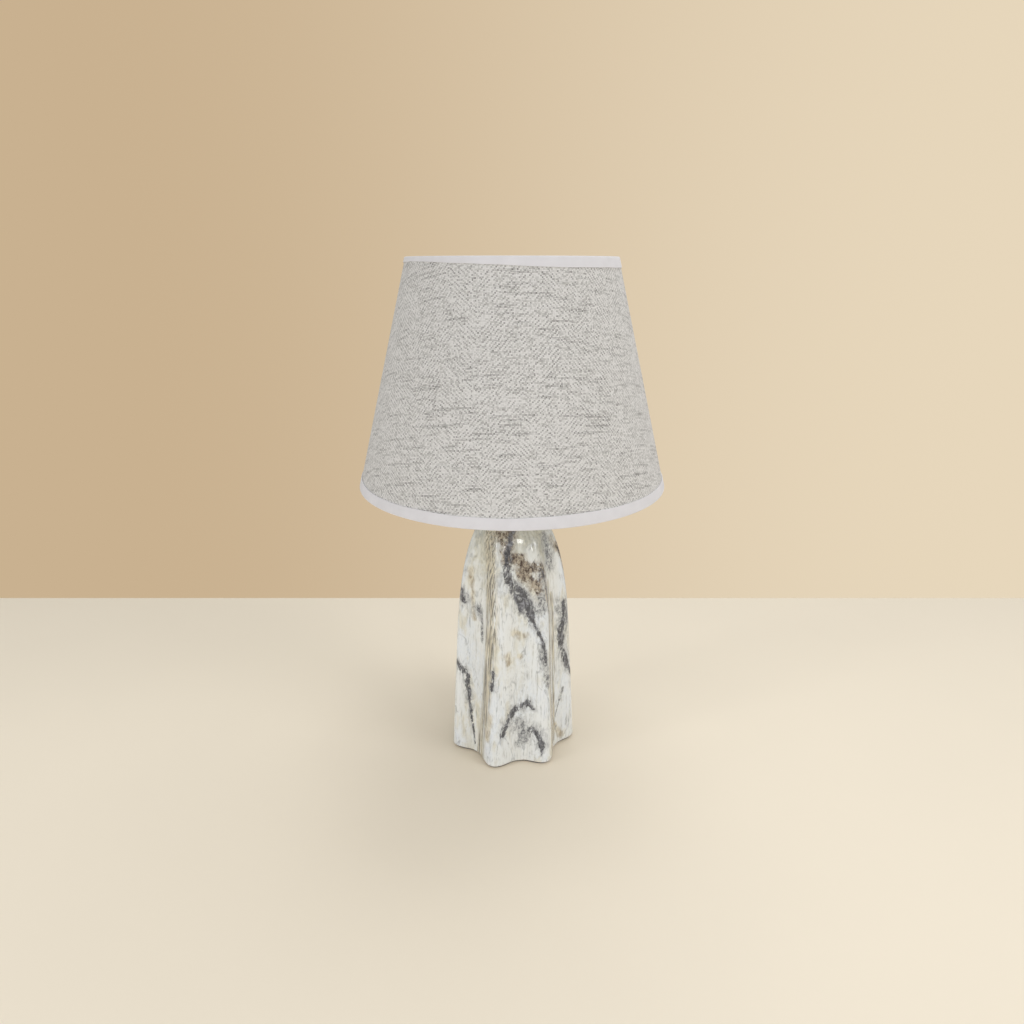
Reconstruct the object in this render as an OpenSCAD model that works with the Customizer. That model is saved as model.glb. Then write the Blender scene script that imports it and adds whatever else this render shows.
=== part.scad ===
// Table lamp: lobed slip-cast ceramic base, E27 lamp holder, LED candle lamp and a hardback cone shade.
// Millimetres, +Z up, the origin on the surface the lamp stands on, under the middle of the base.

/* [Ceramic base] */
// Height of the ceramic, from foot rim to crown
body_h = 172; // [150:1:200]
// Radius of the foot at the tip of a lobe
tip_r = 46.3; // [40:0.1:60]
// How far a flute lies inside the tips, at the foot
flute_depth = 8.7; // [3:0.1:12]
// Number of lobes round the base
lobes = 7; // [5:1:9]
// Sharpness of the lobe tips, 1 being a plain wave
tip_power = 1.4; // [1:0.1:2]
// Inward lean of the side, per millimetre of height
side_lean = 0.058; // [0.02:0.002:0.08]
// Height at which the shoulder begins to round in
shoulder_z = 82; // [60:1:100]
// Thickness of the cast wall
wall = 4.5; // [3.5:0.1:6]
// Height of the recess under the base
recess_h = 15; // [13:0.5:20]
// Thickness of the closed floor over the recess
floor_t = 5; // [4:0.5:7]
// Thickness of the felt under the foot
felt_t = 1.2; // [0.8:0.1:3]
// Inset of the felt from the outline of the foot
felt_inset = 1.6; // [1:0.1:3]
// Radius of the cord inlet's bore, through its grommet
inlet_r = 3.2; // [2.5:0.1:3.6]

/* [Centre tube and neck] */
// Outer radius of the threaded tube
rod_r = 5; // [4.5:0.1:6]
// Wall of the threaded tube
rod_wall = 1.3; // [1:0.1:2]
// Width of the nuts across their flats
nut_af = 14; // [13:0.5:17]
// Height of the nut under the base
nut_h = 5; // [4:0.5:6]
// Height of the lock nut under the lamp holder
lock_nut_h = 4; // [3:0.5:6]
// Radius of the washers under the base
washer_r = 13; // [11:0.5:16]
// Thickness of the steel washer
washer_t = 1.5; // [1:0.1:2.5]
// Thickness of the rubber washer
rubber_t = 2; // [1:0.1:3]
// Radius of the neck cap where it meets the crown
neck_r = 15.5; // [13:0.5:17]
// Height of the neck cap
neck_h = 6; // [5:0.5:10]
// Thickness of the gasket under the neck cap
gasket_t = 1; // [0.5:0.1:2]

/* [Lamp holder] */
// Space between the screw shell and the skirt
skirt_space = 2.62; // [2.4:0.02:4]
// Wall of the skirt, threaded outside
skirt_wall = 2.7; // [2.2:0.1:4]
// Height of the skirt
skirt_h = 28; // [24:1:34]
// Width of the flange that carries the shade
flange_w = 5.08; // [3:0.02:7]
// Thickness of that flange
flange_t = 3; // [2:0.1:4]
// Height of the holder's cap above its boss
cap_h = 15; // [13:0.5:20]
// Wall of the holder's cap
cap_wall = 1.8; // [1.5:0.1:2.4]
// Height of the threaded boss under the cap
boss_h = 9; // [8:0.5:12]
// Radius of that boss
boss_r = 9; // [8.5:0.5:11]
// Height of the screw shell
shell_h = 24; // [20:1:26]
// Wall of the screw shell
shell_wall = 1.2; // [0.8:0.1:1.4]
// Height of the clamp ring
ring_h = 9; // [7:0.5:12]
// Width of the clamp ring round the skirt
ring_w = 8; // [6:0.5:12]

/* [Lamp] */
// Radius of the screw cap over its thread, which sets the holder's size too
bulb_cap_r = 13; // [12:0.1:15.6]
// Largest radius of the lamp
bulb_r = 18.5; // [16:0.5:19]
// Length of the screw cap, with its contact
bulb_cap_h = 26.5; // [24:0.5:29]
// Length of the housing above the screw cap
housing_h = 26; // [20:1:32]
// Length of the diffuser
diffuser_h = 47; // [40:1:54]
// Wall of the housing and the diffuser
bulb_wall = 1.4; // [1:0.1:2]

/* [Shade] */
// Height of the shade
shade_h = 141; // [117:1:170]
// How far its bottom edge hangs below the fitter
shade_drop = 12.2; // [6:0.1:20]
// Outer radius of the shade at its top edge
shade_top_r = 65; // [55:1:85]
// Outer radius of the shade at its bottom edge
shade_bottom_r = 100.4; // [85:0.5:125]
// Thickness of the fabric cover
fabric_t = 0.5; // [0.3:0.1:1]
// Thickness of the liner behind it
liner_t = 0.4; // [0.3:0.1:1]
// Width of the edging tape on the outside
trim_w = 7; // [5:0.5:12]
// Thickness of the edging tape
trim_t = 0.5; // [0.3:0.1:1]
// Radius of the frame's wire
wire_r = 1.25; // [1:0.05:2]
// Number of arms from the fitter to the frame
arms = 3; // [3:1:4]
// Thickness of the fitter washer
fitter_t = 1.2; // [1:0.1:2]
// Width of the washer outside the clamp ring
fitter_lip = 5; // [4:0.5:8]

/* [Hidden] */
$fn = 64;

// Clearances
thread_gap = 0.08;   // between a thread and what runs on it, on the radius
fit_gap = 0.1;       // between pieces fixed to each other
hole_gap = 0.5;      // round the tube where it passes through the ceramic

// Heights of the stack, from the surface up
foot_z = felt_t;
floor_z = foot_z + recess_h;
body_top = foot_z + body_h;
rubber_z = floor_z - rubber_t;
washer_z = rubber_z - washer_t;
base_nut_z = washer_z - nut_h;
rod_end = 1.5;
rod_z = base_nut_z - rod_end;
neck_z = body_top + gasket_t;
lock_z = neck_z + neck_h;
holder_z = lock_z + lock_nut_h;
cap_z = holder_z + boss_h;
skirt_z = cap_z + cap_h;
fitter_z = skirt_z + flange_t;
ring_z = fitter_z + fitter_t;
rod_top = cap_z - 0.5;
shade_z = fitter_z - shade_drop;
lamp_h = shade_z + shade_h;

// The lamp holder, outwards from the lamp's screw cap
shell_gap = 0.4;
shell_r = bulb_cap_r + shell_gap;
shell_out_r = shell_r + shell_wall;
skirt_bore_r = shell_out_r + skirt_space;
skirt_r = skirt_bore_r + skirt_wall;
ring_bore_r = skirt_r + thread_gap;
ring_r = ring_bore_r + ring_w;
flange_r = skirt_r + flange_w;
cap_r = skirt_r - 0.5;
spigot_h = 6;
spigot_r = skirt_bore_r - fit_gap;
spigot_wall = 1.5;
block_h = 10.5;
cap_floor = 2.2;
block_z = cap_z + cap_floor;
block_top = block_z + block_h;
block_r = spigot_r - spigot_wall - 2 * fit_gap;
strip_t = 0.6;
strip_w = 4;
contact_z = block_top + 2;
terminal_x = 9;
screw_r = 1.5;
shell_z = contact_z + 2;
thread_pitch = 3.6;
thread_depth = 0.7;

// The lamp, standing on the centre contact
bulb_z = contact_z;
bulb_contact_h = 1.5;
insulator_h = 4;
insulator_z = bulb_z + bulb_contact_h;
thread_z = insulator_z + insulator_h;
bulb_cap_top = bulb_z + bulb_cap_h;
housing_top = bulb_cap_top + housing_h;
led_board_t = 1.5;
board_gap = 0.3;
led_count = 8;
led_size = 2.8;
led_h = 0.8;

// The shade, and the cone that its cover lies on
cover_gap = 0.05;
trim_over = trim_t + cover_gap;
frame_gap = 0.1;
frame_in = fabric_t + liner_t + 2 * cover_gap;
lean = atan2(shade_bottom_r - shade_top_r, shade_h);
wire_w = 2 * (wire_r + frame_gap) / cos(lean);
bottom_wire_z = shade_z + trim_over + wire_r;
top_wire_z = lamp_h - trim_over - wire_r;
fitter_r = ring_r + fitter_lip;
fitter_hole_r = ring_bore_r + 1;

// Grommet in the foot wall, at the lobe that points to the rear
grommet_lip = 1.2;
grommet_wall = 1.4;
grommet_flange = 1.8;
inlet_z = foot_z + 8;

// Fineness of the ceramic's faces
lobe_steps = 10;
ring_steps = 22;
crown = body_h + 3;
foot_round = 1.5;
rim_in = foot_round + wall;

// Fraction of the way up the rounded shoulder
function shoulder(z) = max(0, (z - shoulder_z) / (crown - shoulder_z));
// Radius at the lobe tips at height z above the foot rim
function tip_at(z) = (tip_r - side_lean * z) * pow(1 - pow(shoulder(z), 2.5), 0.25);
// Depth of the flutes there, which fade out towards the crown
function flute_at(z) = flute_depth * tip_at(z) / tip_r * (1 - pow(shoulder(z), 4));
// The lobe wave, 1 at a tip and 0 in a flute, with a tip towards +Y
function wave(a) = pow((1 + cos(lobes * (a - 90))) / 2, tip_power);
// Radius of the ceramic at height z and bearing a
function body_r(z, a) = tip_at(z) - flute_at(z) * (1 - wave(a));
// Heights of the rings of faces, closer together towards the crown
function ring_zs(z0, z1, n) = [for (i = [0 : n]) z0 + (z1 - z0) * (1 - pow(1 - i / n, 1.5))];
// One closed ring of points, set in by a distance
function ring(z, inset, n) =
    [for (i = [0 : n - 1]) let (a = 360 * i / n, r = body_r(z, a) - inset) [r * cos(a), r * sin(a), z]];
// Radius of the shade's cover at height z
function cone_r(z) = shade_bottom_r - trim_over
    + (shade_top_r - shade_bottom_r) * (z - shade_z) / shade_h;

// Solid between rings of equal count: levels holds [z, inset] pairs
module lobed_solid(levels, n) {
    last = len(levels) - 1;
    points = [for (l = levels) each ring(l[0], l[1], n)];
    sides = [for (j = [0 : last - 1], i = [0 : n - 1])
        let (k = (i + 1) % n, b = j * n, t = b + n)
        each [[b + i, t + i, b + k], [b + k, t + i, t + k]]];
    polyhedron(points, concat([[for (i = [0 : n - 1]) i]], sides,
        [[for (i = [n - 1 : -1 : 0]) last * n + i]]), convexity = 8);
}

// Outline of the foot, set in by a distance
module foot_outline(inset) {
    n = lobes * lobe_steps;
    polygon([for (p = ring(foot_round, inset, n)) [p[0], p[1]]]);
}

// Ring of rectangular section about +Z
module tube(r0, r1, z, h) {
    translate([0, 0, z]) difference() {
        cylinder(r = r1, h = h);
        translate([0, 0, -1]) cylinder(r = r0, h = h + 2);
    }
}

// Hexagonal nut on the centre tube
module hex_nut(z, h) {
    translate([0, 0, z]) difference() {
        cylinder(d = nut_af / cos(30), h = h, $fn = 6);
        translate([0, 0, -1]) cylinder(r = rod_r + thread_gap, h = h + 2);
    }
}

// Round wire between two points, carried on past the second by a distance
module wire(p, q, r, past = 0) {
    d = q - p;
    translate(p) rotate([0, acos(d[2] / norm(d)), atan2(d[1], d[0])]) cylinder(r = r, h = norm(d) + past);
}

// Half section of a rolled Edison thread between two heights, on the outside of radius r
function rolled(r, z0, z1, depth) = let (n = 2 * round((z1 - z0) / thread_pitch))
    [for (i = [0 : n]) [r - (i % 2 == 0 ? depth : 0), z0 + (z1 - z0) * i / n]];

// The recess under the floor, the foot rim and the outside are one skin, and the cavity is cut from it
module ceramic_body() {
    color("whitesmoke") translate([0, 0, foot_z]) difference() {
        lobed_solid(concat([[recess_h, rim_in], [0, rim_in], [0, foot_round]],
            [for (z = ring_zs(foot_round, body_h, ring_steps)) [z, 0]]), lobes * lobe_steps);
        lobed_solid([for (z = ring_zs(recess_h + floor_t, body_h - wall, ring_steps / 2)) [z, wall]],
            lobes * lobe_steps / 2);
        translate([0, 0, recess_h - 1]) cylinder(r = rod_r + hole_gap, h = floor_t + 2);
        translate([0, 0, body_h - wall - 1]) cylinder(r = rod_r + hole_gap, h = wall + 2);
        translate([0, 0, inlet_z - foot_z]) rotate([-90, 0, 0])
            cylinder(r = inlet_r + grommet_wall, h = 2 * tip_r);
    }
}

module felt_pad() {
    color("dimgray") linear_extrude(felt_t) foot_outline(felt_inset);
}

// Rubber bush pushed into the inlet from outside, with a flange that stops it
module cord_grommet() {
    out_y = body_r(inlet_z - foot_z, 90) + fit_gap;
    in_y = body_r(0, 90) - rim_in - fit_gap;
    color("black") translate([0, 0, inlet_z]) rotate([-90, 0, 0]) difference() {
        union() {
            translate([0, 0, in_y - grommet_lip])
                cylinder(r = inlet_r + grommet_wall - fit_gap, h = out_y - in_y + 2 * grommet_lip);
            translate([0, 0, out_y])
                cylinder(r = inlet_r + grommet_wall + grommet_flange, h = grommet_lip);
        }
        translate([0, 0, in_y - 2 * grommet_lip]) cylinder(r = inlet_r, h = 2 * tip_r);
    }
}

module threaded_tube() {
    color("gold") tube(rod_r - rod_wall, rod_r, rod_z, rod_top - rod_z);
}

module base_nut() {
    color("silver") hex_nut(base_nut_z, nut_h);
}

module steel_washer() {
    color("silver") tube(rod_r + fit_gap, washer_r, washer_z, washer_t);
}

module rubber_washer() {
    color("black") tube(rod_r + fit_gap, washer_r + 1, rubber_z, rubber_t);
}

module neck_gasket() {
    color("dimgray") tube(rod_r + fit_gap, neck_r - 0.5, body_top, gasket_t);
}

// Turned cap between the crown and the lamp holder
module neck_cap() {
    color("silver") translate([0, 0, neck_z]) rotate_extrude() polygon([
        [rod_r + fit_gap, 0], [neck_r, 0], [neck_r, neck_h * 0.3],
        for (a = [0 : 15 : 90]) [boss_r + (neck_r - boss_r) * (1 - sin(a)), neck_h * (1 - 0.7 * cos(a))],
        [rod_r + fit_gap, neck_h]]);
}

module lock_nut() {
    color("silver") hex_nut(lock_z, lock_nut_h);
}

// Cup that holds the terminal block, with a threaded boss below and a spigot above for the skirt
module holder_cap() {
    color("ivory") difference() {
        union() {
            translate([0, 0, holder_z]) cylinder(r = boss_r, h = boss_h);
            translate([0, 0, cap_z]) cylinder(r = cap_r, h = cap_h);
            translate([0, 0, skirt_z]) cylinder(r = spigot_r, h = spigot_h);
        }
        translate([0, 0, holder_z - 1]) cylinder(r = rod_r + thread_gap, h = boss_h + cap_h);
        translate([0, 0, block_z]) cylinder(r = cap_r - cap_wall, h = cap_h - cap_floor - cap_wall);
        translate([0, 0, block_z]) cylinder(r = spigot_r - spigot_wall, h = cap_h + spigot_h);
        translate([0, 0, holder_z + boss_h / 2]) rotate([0, 90, 0])
            cylinder(r = screw_r + fit_gap, h = 2 * boss_r);
    }
}

// Set screw that stops the holder turning on its tube
module locking_screw() {
    color("silver") translate([rod_r + 0.05, 0, holder_z + boss_h / 2]) rotate([0, 90, 0]) difference() {
        cylinder(r = screw_r, h = boss_r - rod_r);
        translate([-0.3, -screw_r - 1, boss_r - rod_r - 0.8]) cube([0.6, 2 * screw_r + 2, 1]);
    }
}

module terminal_block() {
    color("whitesmoke") difference() {
        translate([0, 0, block_z]) cylinder(r = block_r, h = block_h);
        translate([0, 0, block_z - 1]) cylinder(r = rod_r - rod_wall, h = 4);
        for (s = [-1, 1]) {
            translate([s * terminal_x, 0, block_top - 7]) cylinder(r = screw_r + fit_gap, h = 8);
            translate([s * terminal_x, 0, block_z - 1]) cylinder(r = 1.8, h = 5);
        }
    }
}

module terminal_screws() {
    color("silver") for (s = [-1, 1]) translate([s * terminal_x, 0, block_top]) difference() {
        union() {
            translate([0, 0, -6]) cylinder(r = screw_r, h = 6.5);
            cylinder(r = 2.6, h = 1.6);
        }
        translate([-0.35, -3, 1]) cube([0.7, 6, 1]);
    }
}

// Strip on the block, raised in the middle to meet the lamp's end contact
module centre_contact() {
    color("gold") translate([0, strip_w / 2, block_top]) rotate([90, 0, 0]) linear_extrude(strip_w)
        polygon([[-6, 0], [-3.2, 0], [-2.4, 2 - strip_t], [2.4, 2 - strip_t], [3.2, 0], [6, 0],
            [6, strip_t], [3.6, strip_t], [2.8, 2], [-2.8, 2], [-3.6, strip_t], [-6, strip_t]]);
}

// Angle strip from the block up the outside of the screw shell
module side_contact() {
    y = shell_out_r + fit_gap;
    color("gold") translate([-strip_w / 2, 0, block_top]) {
        translate([0, y - 5, 0]) cube([strip_w, 5 + strip_t, strip_t]);
        translate([0, y, 0]) cube([strip_w, strip_t, shell_z - block_top + 6]);
    }
}

module screw_shell() {
    inside = rolled(shell_r + thread_depth, shell_z + 1, shell_z + shell_h - 1, thread_depth);
    color("gold") rotate_extrude() polygon(concat(
        [[shell_out_r, shell_z], [shell_out_r, shell_z + shell_h]],
        [for (i = [len(inside) - 1 : -1 : 0]) inside[i]], [[shell_r, shell_z]]));
}

// Skirt round the screw shell, threaded outside above the flange that carries the shade
module holder_skirt() {
    color("ivory") difference() {
        union() {
            translate([0, 0, skirt_z]) cylinder(r = skirt_r, h = skirt_h - 0.8);
            translate([0, 0, skirt_z]) cylinder(r = flange_r, h = flange_t);
            translate([0, 0, skirt_z + skirt_h - 0.8]) cylinder(r = skirt_r - 0.8, h = 0.8);
        }
        translate([0, 0, skirt_z - 1]) cylinder(r = skirt_bore_r, h = skirt_h + 2);
        for (z = [ring_z + 1.25 : 2.5 : skirt_z + skirt_h - 3])
            tube(skirt_r - 0.6, skirt_r + 1, z, 0.9);
    }
}

// Threaded ring that clamps the fitter on the flange, with finger grooves round it
module clamp_ring() {
    color("ivory") difference() {
        tube(ring_bore_r, ring_r, ring_z, ring_h);
        for (a = [0 : 20 : 340]) rotate(a) translate([ring_r + 1.2, 0, ring_z + 2])
            cylinder(r = 2, h = ring_h);
    }
}

module fitter_washer() {
    color("white") tube(fitter_hole_r, fitter_r, fitter_z, fitter_t);
}

// Straight arms welded on the washer's lip, sloping down to the bottom wire
module fitter_arms() {
    color("white") arm_set(wire_r, 0);
}

// The arms as wires of one radius, from the washer's lip to the bottom wire and on past it
module arm_set(r, past) {
    weld = 2;
    end_r = cone_r(bottom_wire_z) - frame_in - wire_w / 2 - wire_r - cover_gap;
    slope = atan2(fitter_z + fitter_t - bottom_wire_z, end_r - fitter_r);
    inner = [fitter_r - weld, 0, fitter_z + fitter_t + wire_r / cos(slope) + max(0, weld * tan(slope))];
    for (i = [0 : arms - 1]) rotate(90 + 360 * i / arms)
        wire(inner, [end_r, 0, bottom_wire_z], r, past);
}

module wire_ring(z) {
    r = cone_r(z) - frame_in - wire_w / 2;
    color("white") translate([0, 0, z]) rotate_extrude() translate([r, 0]) circle(r = wire_r);
}

module bottom_wire() {
    wire_ring(bottom_wire_z);
}

module top_wire() {
    wire_ring(top_wire_z);
}

// Cone of one thickness, its outside set in from the cover's face
module cone_shell(inset, t) {
    z0 = shade_z + trim_over;
    z1 = lamp_h - trim_over;
    rotate_extrude() polygon([[cone_r(z0) - inset - t, z0], [cone_r(z0) - inset, z0],
        [cone_r(z1) - inset, z1], [cone_r(z1) - inset - t, z1]]);
}

module shade_liner() {
    color("white") cone_shell(fabric_t + cover_gap, liner_t);
}

module shade_fabric() {
    color("lightgray") cone_shell(0, fabric_t);
}

// Tape folded over an edge, round the cover, the liner and the wire: dir is 1 going up from the edge
module edging(edge_z, dir) {
    in_w = trim_w - 1;
    span = frame_in + wire_w;
    function face(h) = cone_r(edge_z + dir * h) + cover_gap;
    function back(h) = cone_r(edge_z + dir * h) - span;
    rotate_extrude() polygon([for (p = [
        [face(0) + trim_t, 0], [face(trim_w) + trim_t, trim_w], [face(trim_w), trim_w],
        [face(trim_t), trim_t], [back(trim_t), trim_t], [back(in_w), in_w],
        [back(in_w) - trim_t, in_w], [back(0) - trim_t, 0]]) [p[0], edge_z + dir * p[1]]]);
}

module top_trim() {
    color("white") edging(lamp_h, -1);
}

// The tape at the bottom is slit where each arm comes through it
module bottom_trim() {
    color("white") difference() {
        edging(shade_z, 1);
        arm_set(wire_r + fit_gap, wire_r);
    }
}

module bulb_cap() {
    z1 = bulb_cap_top - 2;
    outside = rolled(bulb_cap_r, thread_z, z1, thread_depth);
    inner = bulb_cap_r - thread_depth - 0.5;
    color("silver") rotate_extrude() polygon(concat(outside,
        [[bulb_cap_r, z1 + 0.5], [bulb_cap_r, bulb_cap_top], [inner, bulb_cap_top], [inner, thread_z]]));
}

module bulb_contact() {
    color("silver") translate([0, 0, bulb_z]) cylinder(r = 4.8, h = bulb_contact_h);
}

// Moulded end of the cap, between the end contact and the thread
module bulb_insulator() {
    color("black") translate([0, 0, insulator_z])
        cylinder(r1 = 5.5, r2 = bulb_cap_r - 1.5, h = insulator_h);
}

module bulb_housing() {
    z0 = bulb_cap_top;
    taper = housing_h * 0.85;
    color("whitesmoke") rotate_extrude() polygon([[bulb_cap_r - 1.5, z0], [bulb_cap_r + 0.5, z0],
        for (a = [0 : 10 : 90]) [bulb_cap_r + 0.5 + (bulb_r - bulb_cap_r - 0.5) * sin(a),
            z0 + 1 + (taper - 1) * (1 - cos(a)) * 0.5 + (taper - 1) * 0.5 * a / 90],
        [bulb_r, housing_top], [bulb_r - bulb_wall, housing_top],
        [bulb_r - bulb_wall, z0 + taper], [bulb_cap_r - 1.5, z0 + 3]]);
}

module driver_board() {
    color("green") translate([-9, -0.8, thread_z + board_gap])
        cube([18, 1.6, housing_top - led_board_t - thread_z - 2 * board_gap]);
}

module led_board() {
    color("white") translate([0, 0, housing_top - led_board_t])
        cylinder(r = bulb_r - bulb_wall - fit_gap, h = led_board_t);
}

module leds() {
    color("yellow") for (i = [0 : led_count - 1]) rotate(360 * i / led_count)
        translate([bulb_r / 2, 0, housing_top + led_h / 2]) cube([led_size, led_size, led_h], center = true);
}

// Candle-shaped cover: a short straight band, then a pointed arch
module bulb_diffuser() {
    function arch(r, h) = [for (a = [0 : 5 : 90])
        [r * cos(a) * (1 - 0.16 * sin(2 * a)), housing_top + h * sin(a)]];
    inside = arch(bulb_r - bulb_wall, diffuser_h - bulb_wall);
    color("white") rotate_extrude() polygon(concat(arch(bulb_r, diffuser_h),
        [for (i = [len(inside) - 1 : -1 : 0]) inside[i]]));
}

ceramic_body();
felt_pad();
cord_grommet();
threaded_tube();
base_nut();
steel_washer();
rubber_washer();
neck_gasket();
neck_cap();
lock_nut();
holder_cap();
locking_screw();
terminal_block();
terminal_screws();
centre_contact();
side_contact();
screw_shell();
holder_skirt();
clamp_ring();
fitter_washer();
fitter_arms();
bottom_wire();
top_wire();
shade_liner();
shade_fabric();
top_trim();
bottom_trim();
bulb_cap();
bulb_contact();
bulb_insulator();
bulb_housing();
driver_board();
led_board();
leds();
bulb_diffuser();
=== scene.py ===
"""Table lamp: a lobed stoneware base in a marbled reactive glaze, an E27 lamp holder, an LED candle lamp
and a cone shade in linen weave with taped edges. Lengths are millimetres until a mesh is written."""
import math

import bmesh
import bpy
import numpy as np
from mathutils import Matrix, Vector


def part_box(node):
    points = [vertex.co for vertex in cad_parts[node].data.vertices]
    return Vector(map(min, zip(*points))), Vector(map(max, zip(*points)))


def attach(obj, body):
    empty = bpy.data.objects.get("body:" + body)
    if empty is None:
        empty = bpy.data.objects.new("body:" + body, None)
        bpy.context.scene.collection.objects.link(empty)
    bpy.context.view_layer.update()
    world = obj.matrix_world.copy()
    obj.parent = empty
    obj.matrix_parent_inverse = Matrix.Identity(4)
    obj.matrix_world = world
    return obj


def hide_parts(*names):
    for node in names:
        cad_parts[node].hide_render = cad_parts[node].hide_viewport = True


bl_info = {
    "name": "Marbled Table Lamp",
    "version": (1, 0, 0),
    "blender": (4, 5, 0),
    "location": "View3D > Sidebar > Table Lamp",
    "description": "Builds a stoneware table lamp with a linen cone shade on its packed frame",
    "category": "Object",
}

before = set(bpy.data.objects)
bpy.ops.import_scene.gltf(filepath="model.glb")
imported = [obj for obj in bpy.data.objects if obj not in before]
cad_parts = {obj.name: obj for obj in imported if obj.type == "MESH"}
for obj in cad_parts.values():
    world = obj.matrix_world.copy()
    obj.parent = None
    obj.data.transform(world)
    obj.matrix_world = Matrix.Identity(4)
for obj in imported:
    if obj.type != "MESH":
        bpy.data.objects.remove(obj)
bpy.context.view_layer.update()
MM = 0.001


def extent(node, axis=2):
    """Where a node's box starts and ends along an axis: its heights, unless told otherwise."""
    return [corner[axis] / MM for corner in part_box(node)]


def outer_r(node):
    """How far a round node reaches from the centre line."""
    return extent(node, 0)[1]


def linear(code):
    """An sRGB hex colour as linear RGBA."""
    srgb = np.array([int(code[i:i + 2], 16) for i in (0, 2, 4)]) / 255
    rgb = np.where(srgb <= 0.04045, srgb / 12.92, ((srgb + 0.055) / 1.055) ** 2.4)
    return (*map(float, rgb), 1.0)


# Heights above the table and radii that the frame fixes
FOOT_Z, CROWN_Z = extent("ceramic_body")
NECK_Z, NECK_TOP = extent("neck_cap")
NECK_R = outer_r("neck_cap")
TUBE_R = outer_r("threaded_tube")
HOLDER_Z, SPIGOT_TOP = extent("holder_cap")
SKIRT_Z, SKIRT_TOP = extent("holder_skirt")
FLANGE_R = outer_r("holder_skirt")
SHELL_Z, SHELL_TOP = extent("screw_shell")
SHELL_R = outer_r("screw_shell")
RING_Z, RING_TOP = extent("clamp_ring")
WASHER_Z, WASHER_TOP = extent("fitter_washer")
WASHER_R = outer_r("fitter_washer")
CAP_Z, CAP_TOP = extent("bulb_cap")
CAP_R = outer_r("bulb_cap")
HOUSING_TOP = extent("bulb_housing")[1]
LAMP_R = outer_r("bulb_housing")
LAMP_TOP = extent("bulb_diffuser")[1]
LINER_Z, LINER_TOP = extent("shade_liner")
SHADE_Z, BOTTOM_TAPE_TOP = extent("bottom_trim")
SHADE_TOP = extent("top_trim")[1]
SHADE_R = outer_r("bottom_trim")

# The base: seven lobes on a tapering side that rounds in to the crown. Its own heights start at the
# foot rim, and the side would close on the axis a little above the crown
BODY_H = CROWN_Z - FOOT_Z
LOBES = 7
TIP_POWER = 1.4
FLUTE_DEPTH = 8.7
SIDE_LEAN = 0.058
SHOULDER_Z = 82
CLOSING_Z = BODY_H + 3
FOOT_ROUND = 1.5
TIP_R = extent("ceramic_body", 1)[1] + SIDE_LEAN * FOOT_ROUND
WALL = 4.5
RECESS_H = 15
FLOOR_T = 5
CENTRE_HOLE_R = 5.5
INLET_Z = FOOT_Z + 8
INLET_HOLE_R = 4.6
INLET_R = 3.2

# The lamp holder: the skirt's flange carries the shade, and the clamp ring runs on the skirt's thread
THREAD_GAP = 0.08
FLANGE_W = 5.08
SKIRT_R = FLANGE_R - FLANGE_W
RING_BORE_R = SKIRT_R + THREAD_GAP
RING_PITCH = 2.5
LAMP_PITCH = 3.6
LAMP_THREAD_DEPTH = 0.7
LAMP_GAP = 0.4

# The shade: a cone whose tapes stand over the cover by their own thickness. The cover's ends pass each
# other at the rear by the lap angle on each side, and the tapes rise over the lap
SHADE_TOP_R = 65
TAPE_T = 0.5
CLEAR = 0.05
COVER_T = 0.5
LINER_T = 0.4
WIRE_R = 1.25
WIRE_GAP = 0.1
TAPE_INSIDE = 6
TAPE_THREAD = 0.5
CONE_SLOPE = (SHADE_TOP_R - SHADE_R) / (SHADE_TOP - SHADE_Z)
CONE_R = SHADE_R - TAPE_T - CLEAR
WIRE_SPACE = 2 * (WIRE_R + WIRE_GAP) * math.hypot(1, CONE_SLOPE)
FRAME_IN = COVER_T + LINER_T + 2 * CLEAR
HALF_ANGLE = math.atan(-CONE_SLOPE)
LAP_ANGLE = math.radians(5)
TAPE_RISE_ANGLE = math.radians(6)
REAR = math.pi
CREASE = math.radians(40)


# ------------------------------------------------------------------ meshes

def full_turn(count):
    """That many angles, evenly spaced round a circle."""
    return np.linspace(0, 2 * math.pi, count, endpoint=False)


def upright(r, bearing, z):
    """Points at a radius, a bearing from the front, which is -Y, and a height."""
    r, bearing, z = np.broadcast_arrays(r, bearing, z)
    return np.stack([r * np.sin(bearing), -r * np.cos(bearing), z], -1)


def smoothed(mesh):
    """Shades a mesh smooth, apart from the edges that turn by more than the crease angle."""
    mesh.shade_smooth()
    mesh.set_sharp_from_angle(angle=CREASE)
    return mesh


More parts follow.
